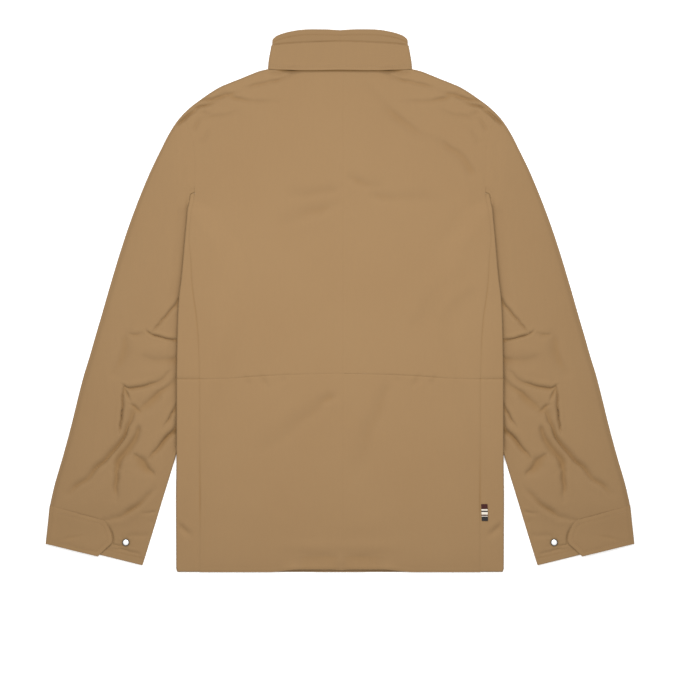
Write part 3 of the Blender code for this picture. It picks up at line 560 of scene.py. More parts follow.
def shell(name, P, half, out=1.0, closed=False, uv=None, tone_and_painted_shade=None, wear_and_painted_light=None,
          skip=None):
    """A closed cloth wall round a grid of mid-wall points.

    P is (rows, columns, 3) in mm; half is half the wall at each point, which
    runs out to almost nothing at an edge to round it.  skip marks points that
    the piece goes without.
    """
    rows, cols = P.shape[:2]
    half = np.broadcast_to(half, (rows, cols))
    # normals from the grid's own directions
    along_r = np.gradient(P, axis=0)
    if closed:
        along_c = (np.roll(P, -1, axis=1) - np.roll(P, 1, axis=1)) / 2
    else:
        along_c = np.gradient(P, axis=1)
    n = np.cross(along_r, along_c) * out
    n /= np.maximum(np.linalg.norm(n, axis=2, keepdims=True), 1e-9)
    top = P + n * half[..., None]
    low = P - n * half[..., None]
    there = np.ones((rows, cols), bool) if skip is None else ~skip
    index = -np.ones((rows, cols), int)
    index[there] = np.arange(there.sum())
    count = int(there.sum())
    verts = np.vstack([top[there], low[there]]) * MM
    i = np.arange(rows - 1)[:, None]
    j = np.arange(cols if closed else cols - 1)[None, :]
    k = (j + 1) % cols
    a, b, c, d = index[i, j], index[i + 1, j], index[i + 1, k], index[i, k]
    whole = (a >= 0) & (b >= 0) & (c >= 0) & (d >= 0)
    a, b, c, d = a[whole], b[whole], c[whole], d[whole]
    quads = np.stack([a, b, c, d], axis=1) if out > 0 else np.stack([a, d, c, b], axis=1)
    # boundary edges, in the order the upper faces use them
    edges = np.vstack([quads[:, [0, 1]], quads[:, [1, 2]], quads[:, [2, 3]], quads[:, [3, 0]]])
    key = edges[:, 0].astype(np.int64) * count + edges[:, 1]
    back = edges[:, 1].astype(np.int64) * count + edges[:, 0]
    rim = edges[~np.isin(key, back)]
    faces = np.vstack([quads, quads[:, ::-1] + count,
                       np.stack([rim[:, 1], rim[:, 0], rim[:, 0] + count, rim[:, 1] + count],
                                axis=1)])
    mesh = bpy.data.meshes.new(name)
    mesh.vertices.add(len(verts))
    mesh.vertices.foreach_set("co", verts.ravel().astype(np.float32))
    mesh.loops.add(faces.size)
    mesh.loops.foreach_set("vertex_index", faces.ravel().astype(np.int32))
    mesh.polygons.add(len(faces))
    mesh.polygons.foreach_set("loop_start", np.arange(0, faces.size, 4, dtype=np.int32))
    mesh.polygons.foreach_set("use_smooth", np.ones(len(faces), bool))
    mesh.update(calc_edges=True)
    mesh.validate()
    # the thread directions, in millimetres, for the weave
    if uv is None:
        uv = P[..., :2]
    flat = np.vstack([uv[there], uv[there]])
    layer = mesh.uv_layers.new(name="thread")
    layer.data.foreach_set("uv", flat[faces.ravel()].ravel().astype(np.float32))
    # two attributes for the cloth's colour: painted shade (creases, seams, under edges), and lighter
    # wear with painted highlights, which turns to painted shade where negative
    for label, values in (("tone_and_painted_shade", tone_and_painted_shade), ("wear_and_painted_light", wear_and_painted_light)):
        v = np.zeros(count * 2) if values is None else np.concatenate(
            [np.broadcast_to(values, (rows, cols))[there], np.zeros(count)])
        attribute = mesh.attributes.new(label, "FLOAT", "POINT")
        attribute.data.foreach_set("value", v.astype(np.float32))
    obj = bpy.data.objects.new(name, mesh)
    bpy.context.scene.collection.objects.link(obj)
    pieces.append(obj)
    return obj


def edge_half(distance, wall=WALL, least=0.06):
    """Half the wall at a distance from a rounded edge."""
    r = wall / 2
    t = np.clip(1.0 - distance / r, 0.0, 1.0)
    return np.maximum(r * np.sqrt(1.0 - t * t), least)


def coons(top, bottom, left, right, u, v):
    """A patch between four edges; top and bottom run with u, the others with v."""
    U, V = np.meshgrid(u, v)
    T, B, L, R = top(u), bottom(u), left(v), right(v)
    c00, c10, c01, c11 = T[0], T[-1], B[0], B[-1]
    P = ((1 - V)[..., None] * T[None] + V[..., None] * B[None]
         + (1 - U)[..., None] * L[:, None] + U[..., None] * R[:, None]
         - ((1 - U) * (1 - V))[..., None] * c00 - (U * (1 - V))[..., None] * c10
         - ((1 - U) * V)[..., None] * c01 - (U * V)[..., None] * c11)
    return P


STITCH_RUNS = {}


def row_run(P, half, distance, value):
    """The line on a grid's upper face at one value of a per-row distance."""
    order = np.argsort(distance)
    out = []
    for c in range(P.shape[1]):
        q = [np.interp(value, distance[order], P[order, c, k]) for k in range(3)]
        q[2] += np.interp(value, distance[order], half[order, c])
        out.append(q)
    return np.array(out)


# ------------------------------------------------------------- back panels
def seam_dip(distance, depth, width):
    return depth * np.exp(-(distance / width) ** 2)


WAIST_DEPTH = [(0.0, 0.10), (15.0, 0.12), (60.0, 0.22), (97.0, 0.40), (135.0, 0.50),
               (165.0, 0.26), (190.0, 0.26), (215.0, 0.60), (246.0, 0.80)]
SEAM_DEPTH = [(161.0, 0.5), (110.0, 0.6), (45.0, 1.1), (0.0, 1.5), (-50.0, 1.3), (-97.0, 0.8),
              (-150.0, 0.9), (-210.0, 0.7), (-255.0, 1.4), (-300.0, 2.0), (-330.0, 1.0),
              (-360.0, 0.5), (-406.0, 0.4)]        # y, strength of the side-back seam
waist_depth = curve(WAIST_DEPTH, 0, 1)
seam_depth = curve(SEAM_DEPTH, 0, 1)


def waist_dip(x, distance):
    """The waist seam draws in more in some places than in others."""
    return waist_depth(np.abs(x)) * np.exp(-(distance / 1.5) ** 2)


def side_dip(y, distance):
    """So does the side-back seam; the armhole hardly shows."""
    arm = ease((y - 160.0) / 6.0)
    return (0.30 * seam_depth(y) * (1 - arm) + 0.05 * arm) * np.exp(-(distance / 1.6) ** 2)


def back_upper(sign):
    half_slit = SLIT / 2
    top_y0, waist0 = NECK_BACK_Y - 0.1, float(waist_y(0.0))
    v_mm = spread(456.0, 2.6, fine=1)
    fine = np.arange(3.8, 104.0, 1.6)
    v_mm = np.unique(np.concatenate([v_mm[v_mm <= 3.5], fine, v_mm[v_mm > 105.2]]))
    u_mm = spread(232.0, 2.4, fine=1)
    u, v = u_mm / u_mm[-1], v_mm / v_mm[-1]
    x_in = CENTRE_SEAM_X * sign + half_slit      # the inner edge, on this side

    def top(u):
        x = x_in + u * (234.7 - half_slit - x_in)
        y = np.where(x < 107.0, NECK_BACK_Y - 0.1, shoulder_y(np.maximum(x, 106.0)))
        y = np.where((x > 100) & (x < 107.0), NECK_BACK_Y - 0.1 - (x - 100) * 0.06, y)
        return np.stack([x, y], 1)

    def bottom(u):
        x = x_in + u * (210.6 - half_slit - x_in)
        return np.stack([x, waist_y(x) + half_slit], 1)

    def left(v):
        return np.stack([np.full_like(v, x_in), top_y0 + (waist0 + half_slit - top_y0) * v], 1)

    def right(v):
        y = 280.5 + (-117.8 + half_slit - 280.5) * v
        x = np.where(y > 161.2, armhole_x(np.maximum(y, 161.2)), seam_x(np.minimum(y, 161.2)))
        return np.stack([x - half_slit, y], 1)

    P2 = coons(top, bottom, left, right, u, v)
    X, Y = P2[..., 0] * sign, P2[..., 1]
    Z, deep = back_top(X, Y)
    U, V = np.meshgrid(u_mm, v_mm)
    d_centre, d_side = U, u_mm[-1] - U
    d_neck, d_waist = V, v_mm[-1] - V
    # the shoulder line closes on the front
    on_shoulder = ease((np.abs(X) - 104.0) / 8.0)
    Z = Z - on_shoulder * 1.3 * np.exp(-(d_neck / 2.4) ** 2)
    Z = (Z - seam_dip(d_centre, 0.05, 1.4) - side_dip(Y, d_side) - waist_dip(X, d_waist))
    at_arm = Y > 161.2
    half_s = np.where(at_arm, edge_half(d_side, least=0.49), edge_half(d_side, least=0.43))
    half = np.minimum(np.minimum(edge_half(d_centre, least=0.47), half_s),
                      np.minimum(edge_half(d_neck), edge_half(d_waist, least=0.40)))
    # painted shade in the side-back and waist seams, and a painted shadow under the collar flap's free
    # edge, darkest near x = 72 mm
    painted_seam_and_flap_shadow = (1.5 * seam_depth(Y) * (1 - ease((Y - 160.0) / 6.0))
                 * np.exp(-(d_side / 1.8) ** 2)
                 + 2.4 * waist_depth(np.abs(X)) * np.exp(-(d_waist / 1.6) ** 2)
                 + (9.5 + 10.0 * np.exp(-((np.abs(X) - 72.0) / 8.0) ** 2))
                 * np.exp(-((Y - 345.4) / 1.7) ** 2) * (1 - ease((np.abs(X) - 84.0) / 16.0)))
    deep = deep + painted_seam_and_flap_shadow
    # the second attribute paints shade along the shoulder seam near the neck
    return shell(f"cloth_back_upper_{'left' if sign < 0 else 'right'}",
                 np.stack([X, Y, Z], 2), half, out=sign, tone_and_painted_shade=deep,
                 wear_and_painted_light=-5.0 * on_shoulder * np.exp(-(d_neck / 2.6) ** 2))


def back_hem_y(x):
    """Lower edge of the back: it draws up on either side of the centre seam."""
    middle = ease((108.0 - np.abs(x - 1.5)) / 46.0) * (1 - 0.30 * np.exp(-((x - 1.5) / 8.0) ** 2))
    return HEM_Y + 0.2 + 4.1 * middle


def hem_lift(x, distance):
    """The hem of the back stands off the front's where it draws up, and rolls a little."""
    middle = ease((96.0 - np.abs(x - 1.5)) / 30.0) * (1 - 0.8 * np.exp(-((x - 1.5) / 9.0) ** 2))
    return (1.9 * middle * np.exp(-(distance / 9.0) ** 2)
            + 0.30 * np.exp(-((distance - 3.0) / 1.5) ** 2))


def back_skirt(sign):
    half_slit = SLIT / 2
    x_in = CENTRE_SEAM_X * sign + half_slit
    v_mm = spread(297.4, 2.6, fine=1, end=False)
    v_mm = np.unique(np.concatenate([v_mm[v_mm < 262.0], np.arange(262.5, 295.5, 1.5),
                                     [296.0, 296.7, 297.1, 297.4]]))
    u_mm = spread(208.0, 2.4, fine=1)
    u, v = u_mm / u_mm[-1], v_mm / v_mm[-1]
    U, V = np.meshgrid(u, v)
    y_top = lambda x: waist_y(np.abs(x)) - half_slit
    reach_of = lambda y: seam_x(y) - half_slit
    Yg = -117.8 + (HEM_Y + 117.8) * V
    X = x_in + U * (reach_of(Yg) - x_in)
    Ytop = y_top(X)
    Ylow = back_hem_y(X * sign)
    Y = Ytop + (Ylow - Ytop) * V
    X = X * sign
    Z, deep = back_top(X, Y)
    # lifted a little where it draws up
    d_hem = (1 - V) * v_mm[-1]
    Z = Z + hem_lift(X, d_hem)
    # the hem turns under and runs back up inside
    turn = []
    zt, yt, xt = Z[-1], Y[-1], X[-1]
    for a in (35.0, 70.0, 110.0, 145.0, 180.0):
        t = math.radians(a)
        turn.append(np.stack([xt, yt - 0.62 * math.sin(t) + 0.62 * 0,
                              zt - 0.62 * (1 - math.cos(t))], 1))
    for d in (1.5, 4.0, 8.0, 13.0, HEM_TURN - 0.5, HEM_TURN):
        turn.append(np.stack([xt, yt + d,
                              back_top(xt, yt + d)[0] + hem_lift(xt, d) - 1.24], 1))
    P = np.stack([X, Y, Z], 2)
    dU, dV = np.meshgrid(u_mm, v_mm)
    d_side = u_mm[-1] - dU
    P[..., 2] -= seam_dip(dU, 0.05, 1.4) + side_dip(Y, d_side) + waist_dip(X, dV)
    half = np.minimum(np.minimum(edge_half(dU, least=0.47), edge_half(d_side, least=0.43)),
                      edge_half(dV, least=0.40))
    # painted shadow below the crease above the hem, in the middle and less at the centre seam; the
    # seams and waist get painted shade as well
    painted_shadow_below_hem_crease = ease((-381.5 - Y) / 3.0) * ease((74.0 - np.abs(X - 1.0)) / 22.0)
    painted_shadow_below_hem_crease = painted_shadow_below_hem_crease * (1 - 0.8 * np.exp(-((X - 1.5) / 5.0) ** 2))
    deep = (deep + 1.5 * seam_depth(Y) * np.exp(-(d_side / 1.8) ** 2) + 1.3 * painted_shadow_below_hem_crease
            + 2.4 * waist_depth(np.abs(X)) * np.exp(-(dV / 1.6) ** 2))
    extra = np.stack(turn, 0)
    half_e = np.minimum(edge_half(dU[:1], least=0.47),
                        edge_half(d_side[:1], least=0.44)).repeat(len(turn), 0)
    half_e[-1] = 0.06
    P = np.concatenate([P, extra], 0)
    half = np.concatenate([half, half_e], 0)
    deep = np.concatenate([deep, np.zeros(extra.shape[:2])], 0)
    v_all = np.concatenate([v_mm, v_mm[-1] + np.array([0.4, 0.8, 1.2, 1.6, 2.0, 3.5, 6.0, 10.0,
                                                       15.0, HEM_TURN + 1.5, HEM_TURN + 2.0])])
    uv = np.stack([P[..., 0], -np.broadcast_to(v_all[:, None], P.shape[:2])], 2)
    # lighter along the hem's fold, where it turns under
    wear_and_painted_light = np.exp(-np.abs(np.broadcast_to((v_all - v_mm[-1] - 0.9)[:, None], P.shape[:2])) / 2.0)
    return shell(f"cloth_back_skirt_{'left' if sign < 0 else 'right'}", P, half, out=sign,
                 tone_and_painted_shade=deep, uv=uv, wear_and_painted_light=wear_and_painted_light)


# ------------------------------------------------------------ front panels
def front_z(x, y):
    z = LOW + rise(x, y)
    return z + np.where(y < 300.0, FLY_RISE * ease((46.0 - np.abs(x)) / 15.0), 0.0)


FRONT_CREASES = [   # the underside, pressed up from below: right half
    ("u1", 0, 0.0, [(196.0, 250.0, 0.0, 7.0), (160.0, 262.0, 0.9, 6.0), (118.0, 268.0, 0.0, 7.0)]),
    ("u2", 0, 0.0, [(70.0, 120.0, 0.0, 9.0), (104.0, 138.0, 1.1, 8.0), (150.0, 150.0, 0.0, 9.0)]),
    ("u3", 0, 0.0, [(60.0, -20.0, 0.0, 9.0), (92.0, 8.0, 1.0, 9.0), (118.0, 42.0, 0.0, 9.0)]),
    ("u4", 0, 0.0, [(70.0, -190.0, 0.0, 10.0), (104.0, -214.0, 1.1, 9.0), (150.0, -226.0, 0.0, 9.0)]),
    ("u5", 0, 0.0, [(60.0, -330.0, 0.0, 10.0), (96.0, -316.0, 0.9, 9.0), (140.0, -320.0, 0.0, 9.0)]),
]
UNDER_CREASES = [   # lower side of the right sleeve
    ("v1", 0, 0.0, [(262.0, -40.0, 0.0, 4.0), (290.0, -52.0, 0.9, 4.0), (324.0, -50.0, 0.0, 4.5)]),
    ("v2", 0, 0.0, [(252.0, -112.0, 0.0, 4.0), (290.0, -126.0, 1.0, 4.0), (330.0, -128.0, 0.0, 4.0)]),
    ("v3", 0, 0.0, [(300.0, -160.0, 0.0, 5.0), (330.0, -206.0, 1.0, 5.0), (372.0, -250.0, 0.0, 5.0)]),
    ("v4", 0, 0.0, [(268.0, -214.0, 0.0, 5.0), (300.0, -236.0, 0.9, 5.0), (330.0, -280.0, 0.0, 5.0)]),
]


def wrap_grid(y_rows, sign):
    """x, y, z of the columns that wrap round the side, for rows of y (n,)."""
    xf = side_x(y_rows) - EDGE
    base = LOW + rise(xf, y_rows)
    cols = []
    for k in range(1, 10):
        a = -math.pi / 2 + math.pi * k / 9
        cols.append(np.stack([xf + FOLD_R * math.cos(a), y_rows,
                              base + FOLD_R + FOLD_R * math.sin(a)], 1))
    seam = seam_x(y_rows) + SLIT / 2
    gap = xf - seam
    top_d = np.array([0.03, 0.08, 0.15, 0.24, 0.34, 0.45, 0.56, 0.67, 0.76, 0.84, 0.90, 0.945,
                      0.97, 0.985, 0.993, 0.9975, 1.0])
    for f in top_d:
        x = xf - gap * f
        z, _ = back_top(x * sign, y_rows)
        z = z - side_dip(y_rows, x - seam)
        cols.append(np.stack([x, y_rows, z], 1))
    return np.stack(cols, 1), seam


def front_upper(name, sign):
    half_slit = SLIT / 2
    v_mm = spread(404.0, 4.0, fine=0)
    # the side: armhole 280.5 .. 161.2, then the fold down to the waist
    u_mm = np.concatenate([spread(212.0, 4.2, fine=0, end=False)[:-1],
                           np.linspace(212.0, 236.0, 9)])
    u = u_mm / u_mm[-1]
    y_side = 280.5 + (-117.8 + half_slit - 280.5) * (v_mm / v_mm[-1])
    # place rows on either side of the underarm
    y_side = np.unique(np.concatenate([y_side, [161.2, 158.0, 154.5]]))[::-1]
    keep = np.concatenate([[True], np.abs(np.diff(y_side)) > 0.05])
    y_side = y_side[keep]
    v = (280.5 - y_side) / (280.5 + 117.8 - half_slit)

    def top(u):
        x = half_slit + u * (234.7 - half_slit - half_slit)
        y = np.where(x < 104.0, neck_front_y(np.minimum(x, 104.0)) - 0.1,
                     shoulder_y(np.maximum(x, 105.8)))
        return np.stack([x, y], 1)

    xb = float(side_x(-117.8)) - EDGE

    def bottom(u):
        x = half_slit + u * (xb - half_slit)
        return np.stack([x, waist_y(x) + half_slit], 1)

    def left(v):
        return np.stack([np.full_like(v, half_slit),
                         294.7 + (float(waist_y(0.0)) + half_slit - 294.7) * v], 1)

    def right(v):
        y = 280.5 + (-117.8 + half_slit - 280.5) * v
        arm = armhole_x(np.maximum(y, 161.2)) - half_slit
        fold = side_x(np.minimum(y, 156.8)) - EDGE
        t = ease((161.2 - y) / 4.4)
        return np.stack([arm * (1 - t) + fold * t, y], 1)

    P2 = coons(top, bottom, left, right, u, v)
    X, Y = P2[..., 0], P2[..., 1]
    Z = front_z(X, Y)
    deep, _, _ = crease_fields(X, Y, FRONT_CREASES)
    d_side = (u_mm[-1] - u_mm)[None, :]
    Z = Z + deep * 0.8 * ease(d_side / 20.0)
    U, V = np.meshgrid(u_mm, (280.5 - y_side))
    on_shoulder = ease((X - 104.0) / 8.0)
    Z = Z + on_shoulder * 1.3 * np.exp(-(V / 2.4) ** 2)
    main = np.stack([X, Y, Z], 2)
    below = y_side < 158.5
    y_wrap = np.where(below, Y[:, -1], 150.0)
    wrap, seam = wrap_grid(y_wrap, sign)
    wrap[~below] = 0.0
    slant = np.clip(161.9 - 0.46 * (wrap[..., 0] - 219.1), 158.3, 161.9) - 158.0
    near_arm = np.where(below, np.exp(-np.maximum(158.0 - y_wrap, 0.0) / 2.2), 0.0)
    wrap[..., 1] += slant * near_arm[:, None]
    # the corner under the arm runs up to meet the armhole
    P = np.concatenate([main, wrap], 1)
    skip = np.zeros(P.shape[:2], bool)
    skip[~below, main.shape[1]:] = True
    cols = P.shape[1]
    # distances to the edges
    d_left = U
    half = np.minimum(edge_half(d_left), edge_half(V))
    half = np.minimum(half, edge_half(V[-1:, :] - V + 0.0))
    above = (~below)[:, None] & np.ones_like(U, bool)
    half = np.where(above, np.minimum(half, edge_half(u_mm[-1] - U)), half)
    wx = wrap[..., 0]
    half_w = edge_half(np.abs(wx - np.where(below, seam, 0.0)[:, None]), least=0.44)
    row_h = np.minimum(edge_half(V[:, :1]), edge_half(V[-1:, :1] - V[:, :1], least=0.40))
    half_w = np.minimum(half_w, row_h)
    half = np.concatenate([half, half_w], 1)
    # the first row of the wrap is an edge too
    first = int(np.argmax(below))
    half[first, main.shape[1]:] = 0.30
    P[..., 0] *= sign
    d_waist = np.broadcast_to((V[-1:, :1] - V[:, :1]), (len(v), 1))
    # run the seam's dip into the visible part
    P[:, main.shape[1] + 6:, 2] -= waist_dip(P[:, main.shape[1] + 6:, 0], d_waist)
    along_u = np.concatenate([[0.0], np.cumsum(np.linalg.norm(np.diff(P[-1], axis=0), axis=1))])
    uv = np.stack([np.broadcast_to(along_u[None], P.shape[:2]),
                   np.broadcast_to(P[..., 1], P.shape[:2])], 2)
    # painted shade in the side-back and waist seams
    tone = np.zeros(P.shape[:2])
    w0 = main.shape[1]
    tone[:, w0:] = (1.5 * seam_depth(P[:, w0:, 1])
                    * np.exp(-((wx - np.where(below, seam, 0.0)[:, None]) / 1.8) ** 2)
                    + 2.4 * waist_depth(np.abs(P[:, w0:, 0]))
                    * np.exp(-(d_waist / 1.6) ** 2))
    # painted shade on the side fold, which rounds away from the light
    rim = np.zeros(P.shape[:2])
    rim[:, w0:w0 + 9] = -0.6 * np.sin(np.pi * np.arange(1, 10) / 9)[None]
    return shell(name, P, half, out=-sign, skip=skip, uv=uv, tone_and_painted_shade=tone, wear_and_painted_light=rim)


def front_skirt(name, sign):
    half_slit = SLIT / 2
    v_mm = spread(297.4, 4.0, fine=0)
    v_mm = np.unique(np.concatenate([v_mm, [0.18, 0.34, 0.85, 1.3, 1.9, 2.6]]))
    u_mm = np.concatenate([spread(212.0, 4.2, fine=0, end=False)[:-1],
                           np.linspace(212.0, 236.0, 7)])
    u, v = u_mm / u_mm[-1], v_mm / v_mm[-1]
    U, V = np.meshgrid(u, v)
    Yg = -117.8 + (HEM_Y + 117.8) * V
    X = half_slit + U * (side_x(Yg) - EDGE - half_slit)
    Ytop = waist_y(X) - half_slit
    Y = Ytop + (HEM_Y - Ytop) * V
    Z = front_z(X, Y)
    deep, _, _ = crease_fields(X, Y, FRONT_CREASES)
    Z = Z + deep * 0.8
    dU, dV = np.meshgrid(u_mm, v_mm)
    reach_low = np.exp(-((v_mm[-1] - v_mm) / 8.0) ** 2)[:, None]
    main = np.stack([X, Y - 0.9 * reach_low, Z], 2)
    y_wrap = Y[:, -1]
    wrap, seam = wrap_grid(y_wrap, sign)
    # the upper side is cut a little shorter than the lower one
    shorter = np.concatenate([np.linspace(-0.9, 0.15, 9), np.full(wrap.shape[1] - 9, 0.15)])
    wrap[..., 1] += shorter[None, :] * reach_low
    wrap[:, 8:, 2] += 0.30 * np.exp(-((v_mm[-1] - v_mm - 3.0) / 1.5) ** 2)[:, None]
    P = np.concatenate([main, wrap], 1)
    half = np.minimum(edge_half(dU), np.minimum(edge_half(dV), edge_half(v_mm[-1] - dV)))
    half_w = edge_half(np.abs(wrap[..., 0] - seam[:, None]), least=0.44)
    row_h = np.minimum(edge_half(dV[:, :1], least=0.40), edge_half(v_mm[-1] - dV[:, :1]))
    half = np.concatenate([half, np.minimum(half_w, row_h)], 1)
    # corners of the hem are a little rounded, and the visible part dips at the waist
    d_hem = v_mm[-1] - v_mm
    pull = 1.6 * np.exp(-(d_hem / 2.2) ** 2)
    P[:, main.shape[1]:, 0] -= pull[:, None] * ease((P[:, main.shape[1]:, 0]
                                                     - (side_x(-406.0) - 8.0)) / 8.0)
    P[:, main.shape[1] + 6:, 2] -= waist_dip(P[:, main.shape[1] + 6:, 0], v_mm[:, None])
    P[..., 0] *= sign
    along_u = np.concatenate([[0.0], np.cumsum(np.linalg.norm(np.diff(P[-1], axis=0), axis=1))])
    uv = np.stack([np.broadcast_to(along_u[None], P.shape[:2]), P[..., 1]], 2)
    w0 = main.shape[1]
    # lighter along the hem
    wear_and_painted_light = np.exp(-np.broadcast_to(d_hem[:, None], P.shape[:2]) / 3.0)
    wear_and_painted_light = wear_and_painted_light * np.ones(P.shape[:2])
    # painted shade on the side fold, much darker below y = -222
    free = 0.6 + 3.6 * ease((-222.0 - P[:, w0:w0 + 9, 1]) / 20.0)
    wear_and_painted_light[:, w0:w0 + 9] = -free * np.sin(np.pi * np.arange(1, 10) / 9)[None]
    middle = ease((110.0 - np.abs(P[..., 0] - 1.5)) / 42.0)
    # painted shade in the side-back and waist seams
    tone = np.zeros(P.shape[:2])
    tone[:, w0:] = (1.5 * seam_depth(P[:, w0:, 1])
                    * np.exp(-((wrap[..., 0] - seam[:, None]) / 1.8) ** 2)
                    + 2.4 * waist_depth(np.abs(P[:, w0:, 0]))
                    * np.exp(-(v_mm[:, None] / 1.6) ** 2))
    wear_and_painted_light[:, :w0] *= (1 - middle)[:, :w0]
    # painted shadow on the strip of the front hem that shows below the back hem, strongest in the
    # middle
    shade = (20.0 * middle + 3.0) * np.exp(-np.broadcast_to(d_hem[:, None], P.shape[:2]) / 9.0)
    wear_and_painted_light[:, :w0] -= shade[:, :w0]
    # painted shade along the hem edge beyond the side fold
    wear_and_painted_light[:, w0 + 9:] -= 4.0 * np.exp(-(d_hem / 1.0) ** 2)[:, None]
    return shell(name, P, half, out=-sign, uv=uv, tone_and_painted_shade=tone, wear_and_painted_light=wear_and_painted_light)


def fly_flap():
    y = 294.0 - spread(700.8, 7.0)
    x = -FLY_HALF + spread(2 * FLY_HALF, 3.0, fine=1)
    X, Y = np.meshgrid(x, y)
    dx = np.minimum(X + FLY_HALF, FLY_HALF - X)
    dy = np.minimum(294.0 - Y, Y - HEM_Y)
    groove = 0.16 * np.exp(-((dx - 6.0) / 0.5) ** 2)
    Z = np.full_like(X, LOW) + groove * 0
    half = np.minimum(edge_half(dx), edge_half(dy)) - groove
    return shell("cloth_fly_flap", np.stack([X, Y, Z], 2), half, out=1.0)


# ----------------------------------------------------------------- sleeves
def sleeve_rows():
    """Row coordinate (in rows of the table) of the sleeve's fine rows."""
    mid = np.array([((r[0] + r[2]) / 2, (r[1] + r[3]) / 2) for r in SLEEVE])
    length = np.concatenate([[0.0], np.cumsum(np.hypot(*np.diff(mid, axis=0).T))])
    total = length[-1]
    first = np.interp(-14.0, -mid[:, 1], length)        # the creased part of the sleeve
    last = np.interp(306.0, -mid[:, 1], length)
    head = spread(first, 3.0, fine=1, end=False)
    fine = np.arange(first + 1.5, last, 1.42)
    tail = np.concatenate([np.arange(fine[-1] + 2.2, total - 40.0, 2.6),
                           np.arange(total - 38.0, total - 1.2, 1.5),
                           [total - 0.7, total - 0.3, total]])
    s = np.concatenate([head, fine, tail])
    return np.interp(s, length, np.arange(len(SLEEVE))), s, total


def sleeve(sign):
    name = f"cloth_sleeve_{'left' if sign < 0 else 'right'}"
    r, s_rows, total = sleeve_rows()
    index = [(i,) + row for i, row in enumerate(SLEEVE)]
    ox, oy, ix, iy = (curve(index, 0, c)(r) for c in (1, 2, 3, 4))
    arm = np.array(ARMHOLE)
    lengths = np.concatenate([[0.0], np.cumsum(np.hypot(*np.diff(arm, axis=0).T))])
    frac = lengths / lengths[-1]
    arm_y = curve([(f, p[1]) for f, p in zip(frac, arm)], 0, 1)
    chord = np.hypot(ix - ox, iy - oy)
    bend = np.maximum(0.0, 1.0 - r / 3.0)
    bend = bend * bend * (3 - 2 * bend)

    def plan(t):
        """Points at a share t (per row or a number) of the section line."""
        t = np.broadcast_to(t, r.shape)
        x = ox + (ix - ox) * t
        y = oy + (iy - oy) * t
        x = x + bend * (armhole_x(arm_y(t)) - (arm[0, 0] + (arm[-1, 0] - arm[0, 0]) * t))
        y = y + bend * (arm_y(t) - (arm[0, 1] + (arm[-1, 1] - arm[0, 1]) * t))
        y0 = oy[0] + (iy[0] - oy[0]) * t
        y0 = y0 + arm_y(t) - (arm[0, 1] + (arm[-1, 1] - arm[0, 1]) * t)
        x0 = ox[0] + (ix[0] - ox[0]) * t
        x0 = x0 + armhole_x(arm_y(t)) - (arm[0, 0] + (arm[-1, 0] - arm[0, 0]) * t)
        x = x + (armhole_x(y0) + SLIT / 2 - x0) * (1 - ease(s_rows / 14.0))
        return x, y

    ends = 9
    n_up, n_low = 96, 14
    share_up = np.interp(np.arange(n_up + 1), [0, 2, 22, 93, 96], [0.0, 0.016, 0.345, 0.975, 1.0])
    cols = []
    kinds = []
    for k in range(ends + 1):                       # outer fold, low to high
        a = math.pi * k / ends
        s = EDGE - FOLD_R * math.sin(a)
        x, y = plan(s / chord)
        cols.append(np.stack([x, y, LOW + FOLD_R - FOLD_R * math.cos(a) + 0 * x], 1))
        kinds.append("fold")
    for k in range(1, n_up):                        # upper layer
        f = share_up[k]
        x, y = plan((EDGE + (chord - 2 * EDGE) * f) / chord)
        cols.append(np.stack([x, y, HIGH + 0 * x], 1))
        kinds.append("up")
    for k in range(ends + 1):                       # inner fold, high to low
        a = math.pi * k / ends
        s = chord - EDGE + FOLD_R * math.sin(a)
        x, y = plan(s / chord)
        cols.append(np.stack([x, y, LOW + FOLD_R + FOLD_R * math.cos(a) + 0 * x], 1))
        kinds.append("fold")
    for k in range(1, n_low):                       # lower layer
        f = 1 - k / n_low
        x, y = plan((EDGE + (chord - 2 * EDGE) * f) / chord)
        cols.append(np.stack([x, y, LOW + 0 * x], 1))
        kinds.append("low")
    P = np.stack(cols, 1)
    up = np.array([k == "up" for k in kinds])
    low = np.array([k == "low" for k in kinds])
    X, Y = P[..., 0], P[..., 1]
    relief, deep, push = sleeve_relief(X, Y)
    at_body, deep_body = back_relief(X, Y)
    share_body = (1.0 - ease(s_rows / 42.0))[:, None]
    inner = np.hypot(X - ix[:, None], Y - iy[:, None])
    near_under = ease((inner - EDGE) / 9.0)
    relief = relief * (1 - share_body) + at_body * near_under * share_body
    deep = deep * (1 - share_body) + deep_body * share_body
    push = push * (1 - share_body)[..., None]
    under, _, _ = crease_fields(X, Y, UNDER_CREASES)
    new = P.copy()
    new[:, up, 2] += relief[:, up]
    new[:, up, 0] += push[:, up, 0]
    new[:, up, 1] += push[:, up, 1]
    new[:, low, 2] += under[:, low]
    floor_up = LOW + 1.15 + under
    new[:, up, 2] = np.maximum(new[:, up, 2], floor_up[:, up])
    to_snap = np.hypot(X - SNAP_AT[0], Y - SNAP_AT[1])
    # ring of painted shadow round the snap, used in the colour only
    painted_snap_shadow = np.exp(-((to_snap - 5.6) / 1.5) ** 2)
    rays = 0.5 + 0.5 * np.sin(7.0 * np.arctan2(Y - SNAP_AT[1], X - SNAP_AT[0]) + 0.8)
    new[:, up, 2] -= (0.35 * np.exp(-((to_snap - 5.6) / 2.0) ** 2)
                      + 0.22 * rays * np.exp(-((to_snap - 10.0) / 4.5) ** 2))[:, up]
    # hem topstitch of the cuff: a shallow line round the end
    d_cuff = (total - s_rows)[:, None]
    stitch = 0.45 * np.exp(-((d_cuff - 8.4) / 1.1) ** 2)
    pucker = 1.0 + 0.35 * np.sin(X * 0.9 + 0.6 * np.sin(Y * 0.31))
    new[:, up, 2] -= (stitch * pucker)[:, up]
    dip = 0.05 * np.exp(-(s_rows / 1.6) ** 2)[:, None]
    new[:, up, 2] -= (dip * np.ones_like(X))[:, up]
    half = edge_half(s_rows, least=0.49)[:, None] * np.ones_like(X)
